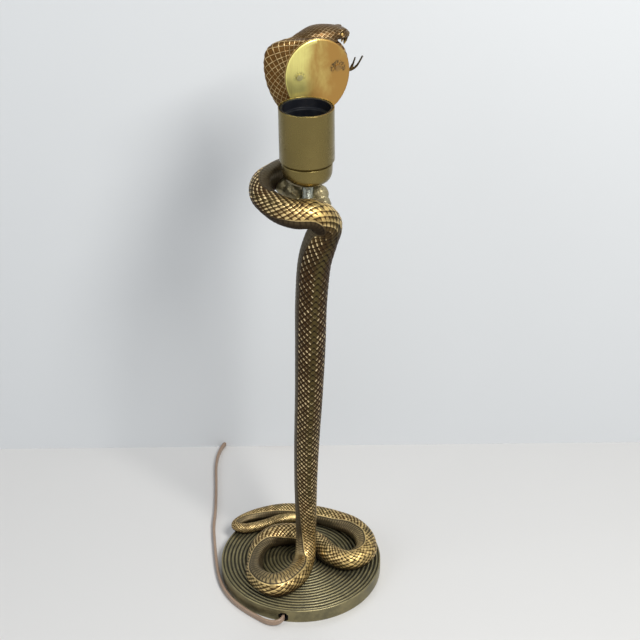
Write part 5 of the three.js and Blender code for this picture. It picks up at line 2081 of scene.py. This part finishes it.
@dataclass(frozen=True)
class Studio:
    """The camera of the photograph, a plain pale floor and wall, and soft lights.

    The camera's place and wall_y are in millimetres, and focal is in pixels of a picture
    frame_width wide. The floor fades from its own colour to far_colour over the distances in
    fading, in metres from its middle.
    """

    camera_at: tuple[float, float, float] = (18.53, -889.72, 771.14)
    pitch: float = math.radians(30.51)
    roll: float = math.radians(-0.62)
    focal: float = 1345.0
    frame_width: float = 640.0
    sensor: float = 36.0
    floor_half: float = 6.0
    floor_colour: Colour = (0.70, 0.695, 0.685)
    far_colour: Colour = (0.80, 0.80, 0.795)
    fading: tuple[float, float] = (0.45, 1.5)
    wall_y: float = 178.0
    wall_half: float = 3.0
    wall_colour: Colour = (0.68, 0.70, 0.72)
    room_light: Colour = (0.80, 0.84, 0.90)
    room_strength: float = 0.33
    room_seen: Colour = (0.84, 0.845, 0.85)
    lights: tuple[SoftLight, ...] = (
        SoftLight("key", azimuth=34, height=46, far=1.5, size=0.5, power=21, tint=(1.0, 0.985, 0.95)),
        SoftLight("fill", azimuth=-60, height=35, far=1.6, size=0.9, power=4, tint=(0.95, 0.98, 1.0)),
        SoftLight("back", azimuth=165, height=55, far=1.6, size=0.8, power=5, tint=(1.0, 1.0, 1.0)),
    )

    def build_camera(self) -> None:
        """Places the camera as the photograph has it."""
        data = bpy.data.cameras.new("camera")
        data.sensor_width = self.sensor
        data.lens = self.focal / self.frame_width * self.sensor
        data.clip_start = 0.05
        data.clip_end = 20
        camera = placed("camera", data)
        right = np.array([1.0, 0, 0])
        up = np.array([0, math.sin(self.pitch), math.cos(self.pitch)])
        ahead = np.array([0, math.cos(self.pitch), -math.sin(self.pitch)])
        c, s = math.cos(self.roll), math.sin(self.roll)
        turn = Matrix((c * right + s * up, -s * right + c * up, -ahead)).transposed().to_4x4()
        turn.translation = Vector(self.camera_at) * MM
        camera.matrix_world = turn
        bpy.context.scene.camera = camera

    def plane(
        self, name: str, corners: list[tuple[float, float, float]], finish: bpy.types.Material
    ) -> bpy.types.Object:
        """A flat four-cornered sheet for the stage.

        Args:
            name: the sheet's name.
            corners: its four corners, in metres.
            finish: its material.

        Returns:
            The sheet.
        """
        data = bpy.data.meshes.new(name)
        data.from_pydata(corners, [], [(0, 1, 2, 3)])
        data.materials.append(finish)
        made = placed(name, data)
        return made

    def build_stage(self) -> None:
        """The floor, and the wall behind, which is clear when it is seen from its back."""
        r = Recipe("pale_floor")
        r.finish(Base_Color=self.floor_colour, Roughness=0.6)
        place = r.node("NewGeometry", {}).outputs["Position"]
        distance = r.node("VectorMath", {0: place}, operation="LENGTH").outputs["Value"]
        pale = r.node("Emission", {0: self.far_colour}).outputs[0]
        far = r.times(r.span(distance, *self.fading), r.seen())
        r.put(r.output.inputs[0], r.mixed(far, r.shader.outputs[0], pale))
        half = self.floor_half
        corners = [(-half, -half, 0), (half, -half, 0), (half, half, 0), (-half, half, 0)]
        self.plane("floor", corners, r.material)
        r = Recipe("pale_wall")
        r.finish(Base_Color=self.wall_colour, Roughness=0.9)
        clear = r.node("BsdfTransparent", {}).outputs[0]
        behind = r.node("NewGeometry", {}).outputs["Backfacing"]
        r.put(r.output.inputs[0], r.mixed(behind, r.shader.outputs[0], clear))
        y, half = self.wall_y * MM, self.wall_half
        corners = [(-half, y, 0), (half, y, 0), (half, y, half), (-half, y, half)]
        wall = self.plane("wall", corners, r.material)
        wall.visible_shadow = False
        wall.visible_diffuse = False

    def build_lights(self) -> None:
        """The soft lights, and a room that is pale to see and gives less light."""
        for light in self.lights:
            light.build()
        world = bpy.data.worlds.new("room")
        bpy.context.scene.world = world
        world.use_nodes = True
        r = Nodes(world.node_tree)
        dim = r.node("Background", {0: self.room_light, 1: self.room_strength}).outputs[0]
        pale = r.node("Background", {0: self.room_seen, 1: 1.0}).outputs[0]
        r.node("OutputWorld", {0: r.mixed(r.seen(), dim, pale)})


def main() -> None:
    """Builds the lamp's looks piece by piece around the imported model."""
    logging.basicConfig(level=logging.INFO, format="%(name)s: %(message)s")
    bpy.context.scene.view_settings.view_transform = "Standard"
    studio = Studio()
    studio.build_camera()
    finishes = Finishes.made()
    Flex(finishes).build()
    SnakeBody(finishes).build()
    Hood(finishes).build()
    StemBoss(finishes).build()
    Lampholder(finishes).build()
    Base(finishes).build()
    loops = ("front", "left", "right", "rear")
    fixings = [f"{name}_loop_{part}" for name in loops for part in ("washer", "screw")]
    keep(finishes.steel, *fixings, "cord_clip_screw")
    studio.build_stage()
    studio.build_lights()


if __name__ == "__main__":
    main()
